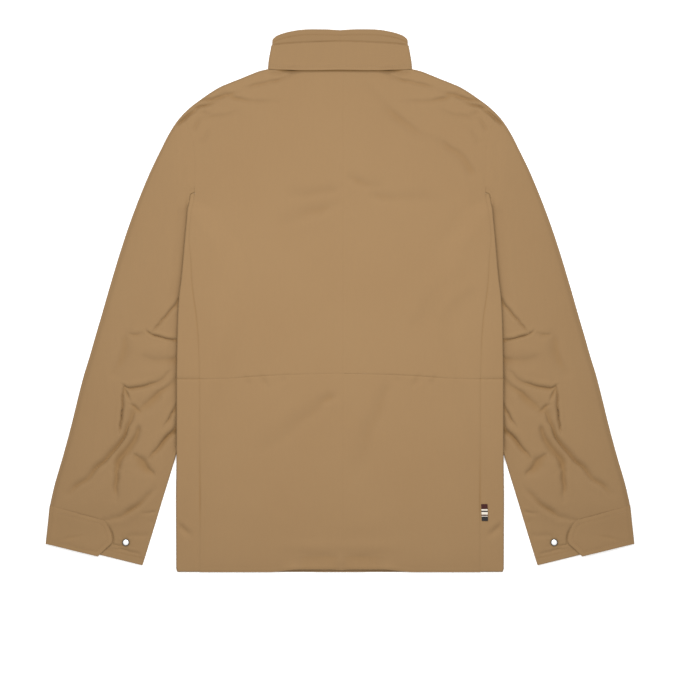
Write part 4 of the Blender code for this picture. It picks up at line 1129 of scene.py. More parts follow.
    # the cuff turns in and runs back up inside
    axis = np.array([ox[-1] - ox[-2] + ix[-1] - ix[-2], oy[-1] - oy[-2] + iy[-1] - iy[-2]])
    axis = axis / np.hypot(*axis)
    last = new[-1]
    centre = np.array([last[:, 0].mean(), last[:, 1].mean(), LOW + FOLD_R])
    inward = np.zeros_like(last)
    inward[:, 2] = np.where(last[:, 2] > LOW + FOLD_R + 0.3, -1.0, 1.0)
    fold_cols = np.array([k == "fold" for k in kinds])
    chord_dir = np.array([ix[-1] - ox[-1], iy[-1] - oy[-1]])
    chord_dir = chord_dir / np.hypot(*chord_dir)
    rel = (last[:, :2] - centre[:2]) @ chord_dir
    mid_z = LOW + FOLD_R
    for c in np.where(fold_cols)[0]:
        toward = -np.sign(rel[c])
        dz = mid_z - last[c, 2]
        dx = math.sqrt(max(0.0, FOLD_R ** 2 - min(abs(dz), FOLD_R) ** 2))
        v = np.array([chord_dir[0] * toward * dx, chord_dir[1] * toward * dx, dz])
        inward[c] = v / max(1e-6, np.linalg.norm(v))
    rows = []
    for a in (40.0, 80.0, 120.0, 155.0, 180.0):
        t = math.radians(a)
        q = last + inward * 0.6 * (1 - math.cos(t))
        q[:, :2] += axis * 0.6 * math.sin(t)
        rows.append(q)
    for d in (1.5, 4.0, 8.0, 13.0, 18.5, 19.0):
        q = last + inward * 1.2
        q[:, :2] -= axis * d
        rows.append(q)
    extra = np.stack(rows, 0)
    half_e = np.full(extra.shape[:2], WALL / 2)
    half_e[-1] = 0.06
    P = np.concatenate([new, extra], 0)
    half = np.concatenate([half, half_e], 0)
    # painted shade along the cuff's topstitch line and in rays round the snap
    deep = deep + 2.0 * np.exp(-((d_cuff - 8.4) / 1.3) ** 2)
    deep = deep + 1.2 * rays * np.exp(-((to_snap - 9.5) / 3.5) ** 2)
    deep_all = np.concatenate([deep * up[None, :], np.zeros(extra.shape[:2])], 0)
    # thread coordinates: round the tube and along it
    u_ring = np.concatenate([[0.0], np.cumsum(np.linalg.norm(np.diff(P[60], axis=0), axis=1))])
    v_all = np.concatenate([s_rows, total + np.array([0.4, 0.8, 1.2, 1.6, 2.0, 3.5, 6.0, 10.0,
                                                      15.0, 20.5, 21.0])])
    uv = np.stack(np.meshgrid(u_ring, v_all), 2)
    # lighter along the cuff's fold
    wear_and_painted_light = np.exp(-np.abs(v_all - total - 0.9) / 2.5)[:, None] * np.ones(P.shape[:2])
    rim = np.zeros(P.shape[1])
    rim[:ends + 1] = np.sin(np.pi * np.arange(ends + 1) / ends)
    rim[ends + 1:ends + 5] = (0.7, 0.5, 0.2, 0.0)
    # painted shade on the two side folds and the start of the upper layer
    wear_and_painted_light = wear_and_painted_light - 5.2 * rim[None, :]
    # painted shade: the sleeve a little darker past its first 90 mm, where it lies lower than the
    # body, and a painted shadow ring round the snap
    wear_and_painted_light[:len(s_rows)] -= 1.0 * ease(s_rows / 90.0)[:, None] + 5.5 * painted_snap_shadow
    # the mouth of the fold that comes out from under the body lies in shadow
    wear_and_painted_light[:len(s_rows)] -= 5.0 * np.exp(-((X - 248.5) / 5.0) ** 2 - ((Y + 196.5) / 4.4) ** 2)
    P[..., 0] *= sign
    return shell(name, P, half, out=-sign, closed=True, uv=uv, tone_and_painted_shade=deep_all, wear_and_painted_light=wear_and_painted_light)


# ------------------------------------------------------------------ collar
# height of the collar above the neck seam at the middle back etc. is in the
# outline of its top edge: x, y (right half)
COLLAR_TOP = [(0.0, 405.2), (10.0, 405.9), (22.0, 406.5), (38.0, 406.7), (50.0, 406.5),
              (61.5, 405.7), (76.0, 403.3), (88.0, 400.4), (95.0, 397.9), (99.0, 396.0),
              (101.4, 393.8)]
COLLAR_SIDE_X = [(346.0, 107.0), (358.0, 106.0), (370.0, 104.0), (380.0, 102.2),
                 (390.4, 101.6)]          # y, x of its side
COLLAR_FRONT_TOP = [(0.0, 351.8), (30.0, 353.5), (45.0, 356.2), (67.5, 363.0), (85.5, 373.5),
                    (101.4, 388.5)]       # x, y of its top edge in front
FLAP_SIDE = [(383.0, 103.2), (375.8, 104.4), (366.8, 106.1), (357.8, 107.5),
             (350.2, 108.2), (345.3, 108.2)]
FLAP_TOP = [(0.0, 388.8), (51.0, 387.3), (90.0, 384.7), (104.0, 383.0)]
FLAP_LOW = [(0.0, 345.6), (40.0, 345.0), (66.0, 344.9), (84.0, 345.6), (96.0, 346.4), (109.0, 347.2)]
COLLAR_WALL = 2.0
collar_top_y = curve(COLLAR_TOP, 0, 1)
collar_side_x = curve(COLLAR_SIDE_X, 0, 1)
collar_front_y = curve(COLLAR_FRONT_TOP, 0, 1)
flap_side_x = curve(FLAP_SIDE, 0, 1)
flap_top_y = curve(FLAP_TOP, 0, 1)
flap_low_y = curve(FLAP_LOW, 0, 1)


def collar_stand():
    """One strip round the neck: back layer, folds at the sides, front layer."""
    high, low = 4.2, 1.0
    z_c, rz, rx = (high + low) / 2, (high - low) / 2, 1.6
    v_mm = np.concatenate([[0.0, 0.1, 0.3, 0.6, 1.0, 1.6], np.arange(3.0, 40.0, 2.0),
                           np.arange(40.2, 46.9, 0.55), [47.4, 48.2, 49.0, 50.0, 51.0, 51.8, 52.5, 53.1, 53.6, 54.1, 54.6,
                            55.1, 55.6, 56.1, 56.6, 57.0, 57.3, 57.5, 57.6]])
    f = v_mm / v_mm[-1]
    reach = 101.4 - COLLAR_WALL / 2 - rx
    u = np.linspace(-1.0, 1.0, 121)
    ratio = []
    back, front = [], []
    for uu in u:
        x_t = abs(uu) * reach
        y_b = NECK_BACK_Y + 0.1
        y_t = float(collar_top_y(x_t * 101.4 / reach))
        y = y_b + (y_t - y_b) * f
        x_side = collar_side_x(y) - COLLAR_WALL / 2 - rx
        x = np.sign(uu) * x_side * abs(uu)
        back.append(np.stack([x, y, np.full_like(x, high)], 1))
        y_b = float(neck_front_y(min(104.0, abs(uu) * 104.0))) + 0.1
        y_t = float(collar_front_y(x_t * 101.4 / reach))
        y = y_b + (y_t - y_b) * f
        x_side = collar_side_x(NECK_BACK_Y + (390.4 - NECK_BACK_Y) * f) - COLLAR_WALL / 2 - rx
        x = np.sign(uu) * x_side * abs(uu)
        front.append(np.stack([x, y, np.full_like(x, low)], 1))
    y_side = NECK_BACK_Y + 0.1 + (390.4 - NECK_BACK_Y - 0.1) * f
    xs = collar_side_x(y_side) - COLLAR_WALL / 2 - rx
    side = []
    for k in range(1, 9):
        a = math.pi / 2 - math.pi * k / 9
        y_k = back[-1][:, 1] + (front[-1][:, 1] - back[-1][:, 1]) * (k / 9)
        side.append(np.stack([xs + rx * math.cos(a), y_k,
                              z_c + rz * math.sin(a) + 0 * xs], 1))
    right = side
    left = [np.stack([-s[:, 0], s[:, 1], s[:, 2]], 1) for s in side]
    cols = back + right + front[::-1] + left[::-1]
    P = np.stack(cols, 1)
    # the strip is closed: back (left to right), right side, front, left side
    d_top = (v_mm[-1] - v_mm)[:, None] * np.ones(P.shape[1])[None]
    r_top = 1.0
    half = edge_half(d_top, wall=COLLAR_WALL, least=0.12)
    half = np.minimum(half, edge_half(v_mm[:, None] * np.ones_like(d_top), wall=COLLAR_WALL,
                                      least=0.3))
    # topstitch line below the top edge, and gentle unevenness
    groove = 0.34 * np.exp(-((d_top - 8.0) / 0.8) ** 2)
    X, Y = P[..., 0], P[..., 1]
    n_back = len(back)
    # and a ditch where the flap is sewn on
    past = Y - flap_top_y(np.minimum(np.abs(X), 104.0))
    ditch = np.exp(-((past - 0.7) / 0.8) ** 2)
    ditch[:, n_back:] = 0.0
    half = half - groove - 0.55 * ditch
    wave = 0.30 * np.sin(X / 17.0 + 0.7) * np.sin(X / 41.0 + 1.9) * ease(v_mm / 20.0)[:, None]
    near_corner = np.exp(-((np.abs(X) - 88.0) / 10.0) ** 2 - ((Y - 396.0) / 4.0) ** 2) * 0.5
    lean = 2.4 * ease((Y - 383.0) / 22.0) * ease((104.0 - np.abs(X)) / 12.0)
    P[:, :n_back, 2] += (wave - near_corner + lean)[:, :n_back]
    uv = np.stack([np.broadcast_to(np.concatenate([[0.0], np.cumsum(np.linalg.norm(
        np.diff(P[len(v_mm) // 2], axis=0), axis=1)), ])[None], P.shape[:2]),
        np.broadcast_to(v_mm[:, None], P.shape[:2])], 2)
    uv = np.concatenate([uv, uv[:, :1] + np.array([420.0, 0.0])], 1)[:, :P.shape[1]]
    # painted shade in the ditch under the flap's sewn edge and in the topstitch groove, more towards
    # the corners
    corner = ease((np.abs(X) - 50.0) / 30.0)
    tone = 3.4 * ditch + (3.4 + 2.0 * corner) * np.exp(-((d_top - 8.0) / 0.9) ** 2)
    tone[:, n_back:] = 0.0
    runs = row_run(P[:, 3:n_back - 3], half[:, 3:n_back - 3], (v_mm[-1] - v_mm), 8.0)
    STITCH_RUNS["collar_edge"] = [runs]
    # the second attribute paints shade along the top edge, which rounds away
    return shell("cloth_collar_stand", P, half, out=-1.0, closed=True, uv=uv, tone_and_painted_shade=tone,
                 wear_and_painted_light=-1.6 * np.exp(-d_top / 1.8))


def collar_flap():
    wall = 1.2
    lift = COLLAR_WALL / 2 + 0.3 + wall / 2
    z_top = 4.2 + lift
    v_mm = np.concatenate([[0.0, 0.06, 0.18, 0.36, 0.6, 0.9, 1.4, 2.0, 2.8], np.arange(4.0, 36.0, 1.3),
                           np.arange(36.4, 43.6, 0.45), [43.9, 44.1, 44.2]])
    f = v_mm / v_mm[-1]
    cols, ds = [], []
    rx, rz = 1.6 + lift, 1.6 + lift
    us = np.concatenate([np.linspace(-1, 1, 141)])
    for uu in us:
        y_t = float(flap_top_y(abs(uu) * 104.0))
        y_l = float(flap_low_y(abs(uu) * 104.0))
        y = y_t + (y_l - y_t) * f
        x = np.sign(uu) * abs(uu) * (flap_side_x(y) - wall / 2 - rx)
        cols.append(np.stack([x, y, np.full_like(x, z_top)], 1))
    side = []
    for a in np.linspace(90, 0, 9)[1:]:
        t = math.radians(a)
        y_t, y_l = 383.2, float(flap_low_y(104.0 + 5.0 * math.cos(t)))
        y = y_t + (y_l - y_t) * f
        x = flap_side_x(y) - wall / 2 - rx + rx * math.cos(t)
        side.append(np.stack([x, y, 2.6 + rz * math.sin(t) + 0 * x], 1))
    left = [np.stack([-s[:, 0], s[:, 1], s[:, 2]], 1) for s in side]
    P = np.stack(left[::-1] + cols + side, 1)
    X, Y = P[..., 0], P[..., 1]
    d_low = (v_mm[-1] - v_mm)[:, None] * np.ones(P.shape[1])[None]
    d_top = v_mm[:, None] * np.ones(P.shape[1])[None]
    length = np.concatenate([[0.0], np.cumsum(np.linalg.norm(np.diff(P[10], axis=0), axis=1))])
    d_end = np.minimum(length, length[-1] - length)[None, :] * np.ones_like(d_low)
    half = edge_half(d_low, wall=wall) * np.ones_like(X)
    half = np.minimum(half, edge_half(d_end, wall=wall))
    # the top is sewn down flat; two rows of stitching lie above the free edge
    half = np.minimum(half, 0.12 + 0.48 * ease(d_top / 1.6))
    rows_ = 0.24 * (np.exp(-((d_low - 4.3) / 0.6) ** 2) + np.exp(-((d_low - 7.4) / 0.6) ** 2))
    faint = 0.08 * np.exp(-((d_low - 22.0) / 1.2) ** 2)
    half = half - rows_ * 0.8
    on_back = (np.abs(X) < 103.0)
    # the free edge stands off a little, more in places
    open_ends = np.exp(-((np.abs(X) - 71.0) / 17.0) ** 2)
    open_ends = np.exp(-((np.abs(X) - 72.0) / 10.0) ** 2)
    stand = (np.exp(-(d_low / 6.0) ** 2) * (2.2 + 2.8 * open_ends)
             * (1 - 0.9 * ease((np.abs(X) - 82.0) / 14.0)) * on_back)
    sink = 0.9 * np.exp(-(d_top / 1.2) ** 2) * on_back
    swell = 0.5 * np.sin(np.clip(d_top / 44.0, 0, 1) * math.pi) * (1 - (np.abs(X) / 110.0) ** 4)
    wave = 0.18 * np.sin(X / 23.0 + 0.4) * np.sin(Y / 9.0 + X / 60.0)
    P[..., 2] += stand - sink * 0.6 + (swell + wave) * on_back - faint
    uv = np.stack([np.broadcast_to(length[None], P.shape[:2]),
                   np.broadcast_to(v_mm[:, None], P.shape[:2])], 2)
    back_cols = np.where(on_back[0])[0][2:-2]
    STITCH_RUNS["collar_flap"] = [row_run(P[:, back_cols], half[:, back_cols],
                                          v_mm[-1] - v_mm, d) for d in (4.3, 7.4)]
    # painted shade in the two stitch rows and along the sewn top edge; lighter along the free edge
    return shell("cloth_collar_flap", P, half, out=1.0, uv=uv, wear_and_painted_light=np.exp(-d_low / 1.5),
                 tone_and_painted_shade=3.0 * rows_ + 1.6 * np.exp(-(d_top / 1.1) ** 2))


# --------------------------------------------------------------- cuff tabs
TAB_START = (436.2, -307.3, 442.4, -365.5)
TAB_END = [(0.0, 354.8, -329.2), (0.10, 351.2, -332.8), (0.2, 348.3, -337.6),
           (0.3, 345.7, -343.2), (0.4, 343.5, -349.1), (0.5, 342.0, -355.2),
           (0.58, 341.6, -359.8), (0.66, 342.8, -364.2), (0.73, 346.0, -367.6),
           (0.8, 350.0, -371.0), (0.9, 356.2, -377.0), (1.0, 363.2, -383.9)]


def cuff_tab(sign):
    wall = 1.3
    lift = WALL / 2 + 0.25 + wall / 2
    thin = 0.95                     # how much closer it lies where it is sewn in
    r = FOLD_R + lift - thin
    z_mid = LOW + FOLD_R
    x1, y1, x2, y2 = TAB_START
    end_x, end_y = curve(TAB_END, 0, 1), curve(TAB_END, 0, 2)
    v = spread(1.0 * 60.0, 1.5, fine=1) / 60.0
    sx, sy = x1 + (x2 - x1) * v, y1 + (y2 - y1) * v
    cx = sx - r - wall / 2
    ex, ey = end_x(v), end_y(v)
    cols = []
    u_mm = [0.0]
    for k in range(0, 9):
        t = math.radians(90.0 * k / 8)
        cols.append(np.stack([cx + r * math.cos(t), sy, z_mid + r * math.sin(t) + 0 * sy], 1))
    n = 56
    share = 1 - (1 - np.linspace(0, 1, n + 1)[1:]) ** 1.15
    share = np.concatenate([share[:-3], [0.985, 0.992, 0.9962, 0.9985, 1.0]])
    share = np.unique(np.round(share, 6))
    for s in share:
        x = cx + (ex - cx) * s
        y = sy + (ey - sy) * s
        cols.append(np.stack([x, y, np.full_like(x, z_mid + r)], 1))
    P = np.stack(cols, 1)
    X, Y = P[..., 0], P[..., 1]
    seg = np.linalg.norm(np.diff(P, axis=1), axis=2)
    length = np.concatenate([np.zeros((len(v), 1)), np.cumsum(seg, 1)], 1)
    d_end = length[:, -1:] - length
    width = np.hypot(x2 - x1, y2 - y1)
    # distance to the rounded outline: top edge, bottom edge, end
    end_pts = np.stack([end_x(np.linspace(0, 1, 120)), end_y(np.linspace(0, 1, 120))], 1)
    outline = np.concatenate([[(x1, y1)], end_pts, [(x2, y2)]])
    best = np.full(X.shape, 1e9)
    for a, b in zip(outline[:-1], outline[1:]):
        dx, dy = b - a
        t = np.clip(((X - a[0]) * dx + (Y - a[1]) * dy) / max(1e-9, dx * dx + dy * dy), 0, 1)
        best = np.minimum(best, np.hypot(X - a[0] - t * dx, Y - a[1] - t * dy))
    half = edge_half(best, wall=wall)
    half = np.minimum(half, edge_half(length, wall=wall, least=0.3))
    free = ease((length - 12.0) / 42.0)
    half = half * (0.42 + 0.58 * free)
    P[..., 2] += thin * free
    groove = np.exp(-((best - 6.8) / 0.9) ** 2)
    half = half - 0.15 * groove * free
    relief, _, _ = sleeve_relief(X, Y, with_creases=False)
    on_top = ease((cx[:, None] - X) / 6.0)
    swell = 0.55 * ease(best / 14.0) + 0.12 * np.exp(-((best - 3.4) / 2.0) ** 2)
    fold = 0.6 * np.exp(-(((X - 404.0) * 0.2 + (Y + 356.0)) / 2.4) ** 2) * np.exp(
        -((X - 404.0) / 14.0) ** 2)
    wave = 0.16 * np.sin(X / 7.5 + Y / 19.0) * ease(best / 8.0)
    P[..., 2] += (relief + swell - fold + wave) * on_top
    P[..., 2] += 0.3 * np.exp(-(d_end / 6.0) ** 2) * on_top
    # the line of stitches, 6.8 mm inside the outline
    along = np.array([outline[0] * (1 - f) + outline[1] * f for f in np.linspace(0, 1, 40)[:-1]]
                     + [p for p in outline[1:-1]]
                     + [outline[-2] * (1 - f) + outline[-1] * f
                        for f in np.linspace(0, 1, 40)[1:]])
    d = np.gradient(along, axis=0)
    d /= np.maximum(np.hypot(d[:, 0], d[:, 1])[:, None], 1e-9)
    inside = along + 6.8 * np.stack([-d[:, 1], d[:, 0]], 1)
    run = []
    flat_pts = P.reshape(-1, 3)
    flat_half = half.reshape(-1)
    flat_best = best.reshape(-1)
    for q in inside:
        if q[0] > cx.min() - 2.0:
            continue
        near = np.argsort(np.hypot(flat_pts[:, 0] - q[0], flat_pts[:, 1] - q[1]))[:7]
        if abs(flat_best[near[0]] - 6.8) > 1.6:
            continue
        A = np.stack([np.ones(7), flat_pts[near, 0] - q[0], flat_pts[near, 1] - q[1]], 1)
        z = np.linalg.lstsq(A, flat_pts[near, 2] + flat_half[near], rcond=None)[0][0]
        run.append((q[0] * sign, q[1], z))
    STITCH_RUNS["cuff_tab_" + ("left" if sign < 0 else "right")] = [np.array(run)]
    P[..., 0] *= sign
    uv = np.stack([length, -np.broadcast_to((v * width)[:, None], X.shape)], 2)
    name = f"cloth_cuff_tab_{'left' if sign < 0 else 'right'}"
    # painted shade on the outer fold and in the fold and stitch groove; a painted highlight on the
    # band inside the outline; the whole tab a little darker
    rim = np.zeros_like(best)
    rim[:, :9] = np.cos(np.radians(90.0 * np.arange(9) / 8))[None]
    rim[:, 9:11] = 0.15
    return shell(name, P, half, out=-sign, uv=uv,
                 wear_and_painted_light=(np.exp(-((best - 3.6) / 2.2) ** 2) * 0.7) * free - 2.2 * rim,
                 tone_and_painted_shade=fold + 1.0 + 0.8 * groove * free)


# ------------------------------------------------------------------- snaps
def turned(name, profile, steps=48):
    """A turned shape from a profile of x, z, from the middle of its top round to below."""
    prof = np.array(profile, float)
    a = np.linspace(0, 2 * math.pi, steps, endpoint=False)
    n = len(prof)
    verts = np.array([(x * math.cos(t), x * math.sin(t), z) for t in a for x, z in prof]) * MM
    faces = []
    for i in range(steps):
        j = (i + 1) % steps
        for k in range(n - 1):
            faces.append((i * n + k, i * n + k + 1, j * n + k + 1, j * n + k))
    mesh = bpy.data.meshes.new(name)
    mesh.from_pydata([tuple(v) for v in verts], [], faces)
    mesh.update()
    import bmesh
    bm = bmesh.new()
    bm.from_mesh(mesh)
    bmesh.ops.remove_doubles(bm, verts=bm.verts, dist=1e-7)
    bmesh.ops.recalc_face_normals(bm, faces=bm.faces)
    for f in bm.faces:
        f.smooth = True
    bm.to_mesh(mesh)
    bm.free()
    mesh.set_sharp_from_angle(angle=math.radians(38))
    obj = bpy.data.objects.new(name, mesh)
    bpy.context.scene.collection.objects.link(obj)
    pieces.append(obj)
    return obj


def snap(sign):
    r = 5.25
    profile = [(0.0, 2.05), (1.2, 2.04), (2.4, 1.99), (3.3, 1.88), (3.95, 1.64), (4.2, 1.35),
               (4.3, 1.02), (4.45, 0.85), (4.6, 1.02), (4.75, 1.12), (4.95, 1.15), (5.12, 1.05),
               (r, 0.85), (r, 0.35), (5.1, 0.08), (4.6, 0.0), (0.0, 0.0)]
    obj = turned(f"snap_cap_{'left' if sign < 0 else 'right'}", profile)
    obj.location = (sign * SNAP_AT[0] * MM, SNAP_AT[1] * MM, 5.1 * MM)
    return obj


# ------------------------------------------------------------------- label
LABEL = (211.2, 220.6, -305.2, -330.0)


def label():
    x1, x2, y1, y2 = LABEL
    v_mm = spread(25.2, 0.5, fine=0)
    u_mm = spread(9.4, 0.5, fine=0)
    U, V = np.meshgrid(u_mm, v_mm)
    X, Y = x1 + U, y1 - V
    X = X + (Y - y1) * -0.035 + 0.4          # it hangs a little askew
    base, _ = back_top(X, Y)
    Z = base + WALL / 2 + 0.35 + 0.35
    Z = Z + 0.4 * (U / 9.4) ** 2 + 0.12 * np.sin(V / 4.0)
    d = np.minimum(np.minimum(U, 9.4 - U), np.minimum(V, 25.2 - V))
    half = edge_half(d, wall=0.7, least=0.08)
    uv = np.stack([U, V], 2)
    return shell("label_woven_tab", np.stack([X, Y, Z], 2), half, out=1.0, uv=uv)


# ---------------------------------------------------------------- stitches
def stitches(name, runs, pitch=2.9, length=2.1, radius=0.17):
    """Short rounded threads along lines; a run is points (x, y, z)."""
    verts, faces = [], []
    ring = 5
    shape = [(-0.5, 0.35), (-0.36, 0.95), (0.0, 1.15), (0.36, 0.95), (0.5, 0.35)]
    for run in runs:
        p = np.array(run, float)
        seg = np.linalg.norm(np.diff(p, axis=0), axis=1)
        total = seg.sum()
        cum = np.concatenate([[0.0], np.cumsum(seg)])
        n = int(total / pitch)
        for k in range(n):
            c = (k + 0.5) * total / n
            ends = [np.array([np.interp(c + e * length, cum, p[:, q]) for q in range(3)])
                    for e in (-0.5, 0.5)]
            d = ends[1] - ends[0]
            ln = np.linalg.norm(d)
            if ln < 1e-6:
                continue
            d = d / ln
            side = np.cross(d, (0, 0, 1))
            side = side / max(1e-9, np.linalg.norm(side))
            upv = np.cross(side, d)
            mid = (ends[0] + ends[1]) / 2
            start = len(verts)
            for f, w in shape:
                sink = -0.16 * (1 - math.cos(f * 2 * math.pi)) * 0 - 0.5 * abs(f) ** 2
                for a in range(ring):
                    t = 2 * math.pi * a / ring
                    q = (mid + d * (f * ln) + side * (radius * w * math.cos(t))
                         + upv * (radius * w * math.sin(t) + sink * 0.35))
                    verts.append(q * MM)
            m = len(shape)
            for i in range(m - 1):
                for a in range(ring):
                    b = (a + 1) % ring
                    faces.append((start + i * ring + a, start + i * ring + b,
                                  start + (i + 1) * ring + b, start + (i + 1) * ring + a))
            faces.append(tuple(start + a for a in reversed(range(ring))))
            faces.append(tuple(start + (m - 1) * ring + a for a in range(ring)))
    mesh = bpy.data.meshes.new(name)
    mesh.from_pydata([tuple(v) for v in verts], [], faces)
    mesh.update()
    mesh.polygons.foreach_set("use_smooth", np.ones(len(mesh.polygons), bool))
    obj = bpy.data.objects.new(name, mesh)
    bpy.context.scene.collection.objects.link(obj)
    pieces.append(obj)
    return obj


# --------------------------------------------------------------- materials
def new_material(name):
    mat = bpy.data.materials.new(name)
    mat.use_nodes = True
    nt = mat.node_tree
    shader = nt.nodes["Principled BSDF"]
    return mat, nt, shader


def cloth_material(name, colour, thread_mm=0.42, sheen=0.06):
    """Fine plain weave: thread pattern, slow tone changes, painted shade in creases, seams and under
    edges, painted highlights and lighter worn edges.
    """
    mat, nt, shader = new_material(name)
    new, link = nt.nodes.new, nt.links.new
    uv = new("ShaderNodeUVMap")
    uv.uv_map = "thread"
    scale = new("ShaderNodeVectorMath")
    scale.operation = "SCALE"
    scale.inputs["Scale"].default_value = 1.0 / thread_mm
    link(uv.outputs["UV"], scale.inputs[0])
    split = new("ShaderNodeSeparateXYZ")
    link(scale.outputs["Vector"], split.inputs[0])

    def sine(socket, turn=0.0):
        a = new("ShaderNodeMath")
        a.operation = "MULTIPLY_ADD"
        a.inputs[1].default_value = math.pi
        a.inputs[2].default_value = turn
        link(socket, a.inputs[0])
        b = new("ShaderNodeMath")
        b.operation = "SINE"
        link(a.outputs[0], b.inputs[0])
        return b.outputs[0]

    warp, weft = sine(split.outputs["X"]), sine(split.outputs["Y"])
    both = new("ShaderNodeMath")
    both.operation = "MULTIPLY"
    link(warp, both.inputs[0])
    link(weft, both.inputs[1])                   # plain weave: over and under
    coord = new("ShaderNodeTexCoord")
    slub = new("ShaderNodeTexNoise")
    slub.inputs["Scale"].default_value = 260.0
    slub.inputs["Detail"].default_value = 3.0
    stretch = new("ShaderNodeMapping")
    stretch.inputs["Scale"].default_value = (1.0, 0.16, 1.0)
    link(coord.outputs["Object"], stretch.inputs["Vector"])
    link(stretch.outputs["Vector"], slub.inputs["Vector"])
    slow = new("ShaderNodeTexNoise")
    slow.inputs["Scale"].default_value = 7.0
    slow.inputs["Detail"].default_value = 3.0
    slow.inputs["Roughness"].default_value = 0.55
    link(coord.outputs["Object"], slow.inputs["Vector"])
    tone_and_painted_shade = new("ShaderNodeAttribute")
    tone_and_painted_shade.attribute_name = "tone_and_painted_shade"
    wear_and_painted_light = new("ShaderNodeAttribute")
    wear_and_painted_light.attribute_name = "wear_and_painted_light"

    def add_scaled(base, socket, amount, centre=0.0):
        a = new("ShaderNodeMath")
        a.operation = "SUBTRACT"
        a.inputs[1].default_value = centre
        link(socket, a.inputs[0])
        b = new("ShaderNodeMath")
        b.operation = "MULTIPLY_ADD"
        b.inputs[1].default_value = amount
        link(a.outputs[0], b.inputs[0])
        if base is None:
            b.inputs[2].default_value = 1.0
        else:
            link(base, b.inputs[2])
        return b.outputs[0]

    tone = add_scaled(None, both.outputs[0], 0.035)
    tone = add_scaled(tone, slub.outputs["Fac"], 0.05, 0.5)
    tone = add_scaled(tone, slow.outputs["Fac"], 0.07, 0.5)
    # painted shade: the first attribute darkens the base colour in creases, seams and under
    # overlapping edges
    tone = add_scaled(tone, tone_and_painted_shade.outputs["Fac"], -0.034)
    # the second attribute lightens worn edges and paints highlights where positive, and paints shade
    # where negative
    tone = add_scaled(tone, wear_and_painted_light.outputs["Fac"], 0.035)
    hue = new("ShaderNodeMix")
    hue.data_type = "RGBA"
    hue.inputs["A"].default_value = (*colour, 1.0)
    hue.inputs["B"].default_value = (colour[0] * 0.985, colour[1] * 1.015, colour[2] * 1.04, 1.0)
    link(slow.outputs["Fac"], hue.inputs["Factor"])
    warm = new("ShaderNodeMapRange")             # light that bounced off cloth is warmer
    warm.inputs["From Min"].default_value = 0.8
    warm.inputs["From Max"].default_value = 7.0
    warm.inputs["To Min"].default_value = 0.0
    warm.inputs["To Max"].default_value = 1.0
    link(tone_and_painted_shade.outputs["Fac"], warm.inputs["Value"])
    tint = new("ShaderNodeMix")
    tint.data_type = "RGBA"
    tint.inputs["A"].default_value = (1.0, 1.0, 1.0, 1.0)
    tint.inputs["B"].default_value = (1.12, 1.0, 0.75, 1.0)
    link(warm.outputs["Result"], tint.inputs["Factor"])
    tinted = new("ShaderNodeVectorMath")
    tinted.operation = "MULTIPLY"
    link(hue.outputs["Result"], tinted.inputs[0])
    link(tint.outputs["Result"], tinted.inputs[1])
    shade = new("ShaderNodeVectorMath")
    shade.operation = "SCALE"
    link(tinted.outputs["Vector"], shade.inputs[0])
    link(tone, shade.inputs["Scale"])
    link(shade.outputs["Vector"], shader.inputs["Base Color"])

    rough = new("ShaderNodeMath")
    rough.operation = "MULTIPLY_ADD"
    rough.inputs[1].default_value = 0.10
    rough.inputs[2].default_value = 0.80
    link(slub.outputs["Fac"], rough.inputs[0])
    link(rough.outputs[0], shader.inputs["Roughness"])
    shader.inputs["Specular IOR Level"].default_value = 0.22
    shader.inputs["Sheen Weight"].default_value = sheen
    shader.inputs["Sheen Roughness"].default_value = 0.45
    shader.inputs["Sheen Tint"].default_value = (0.93, 0.90, 0.86, 1.0)

    crinkle = new("ShaderNodeTexNoise")
    crinkle.inputs["Scale"].default_value = 34.0
    crinkle.inputs["Detail"].default_value = 4.0
    crinkle.inputs["Roughness"].default_value = 0.5
    link(coord.outputs["Object"], crinkle.inputs["Vector"])
    bump_a = new("ShaderNodeBump")
    bump_a.inputs["Strength"].default_value = 0.20
    bump_a.inputs["Distance"].default_value = 0.0009
    link(crinkle.outputs["Fac"], bump_a.inputs["Height"])
    bump_b = new("ShaderNodeBump")
    bump_b.inputs["Strength"].default_value = 0.35
    bump_b.inputs["Distance"].default_value = 0.00006
    link(both.outputs[0], bump_b.inputs["Height"])
    link(bump_a.outputs["Normal"], bump_b.inputs["Normal"])
    link(bump_b.outputs["Normal"], shader.inputs["Normal"])
    return mat


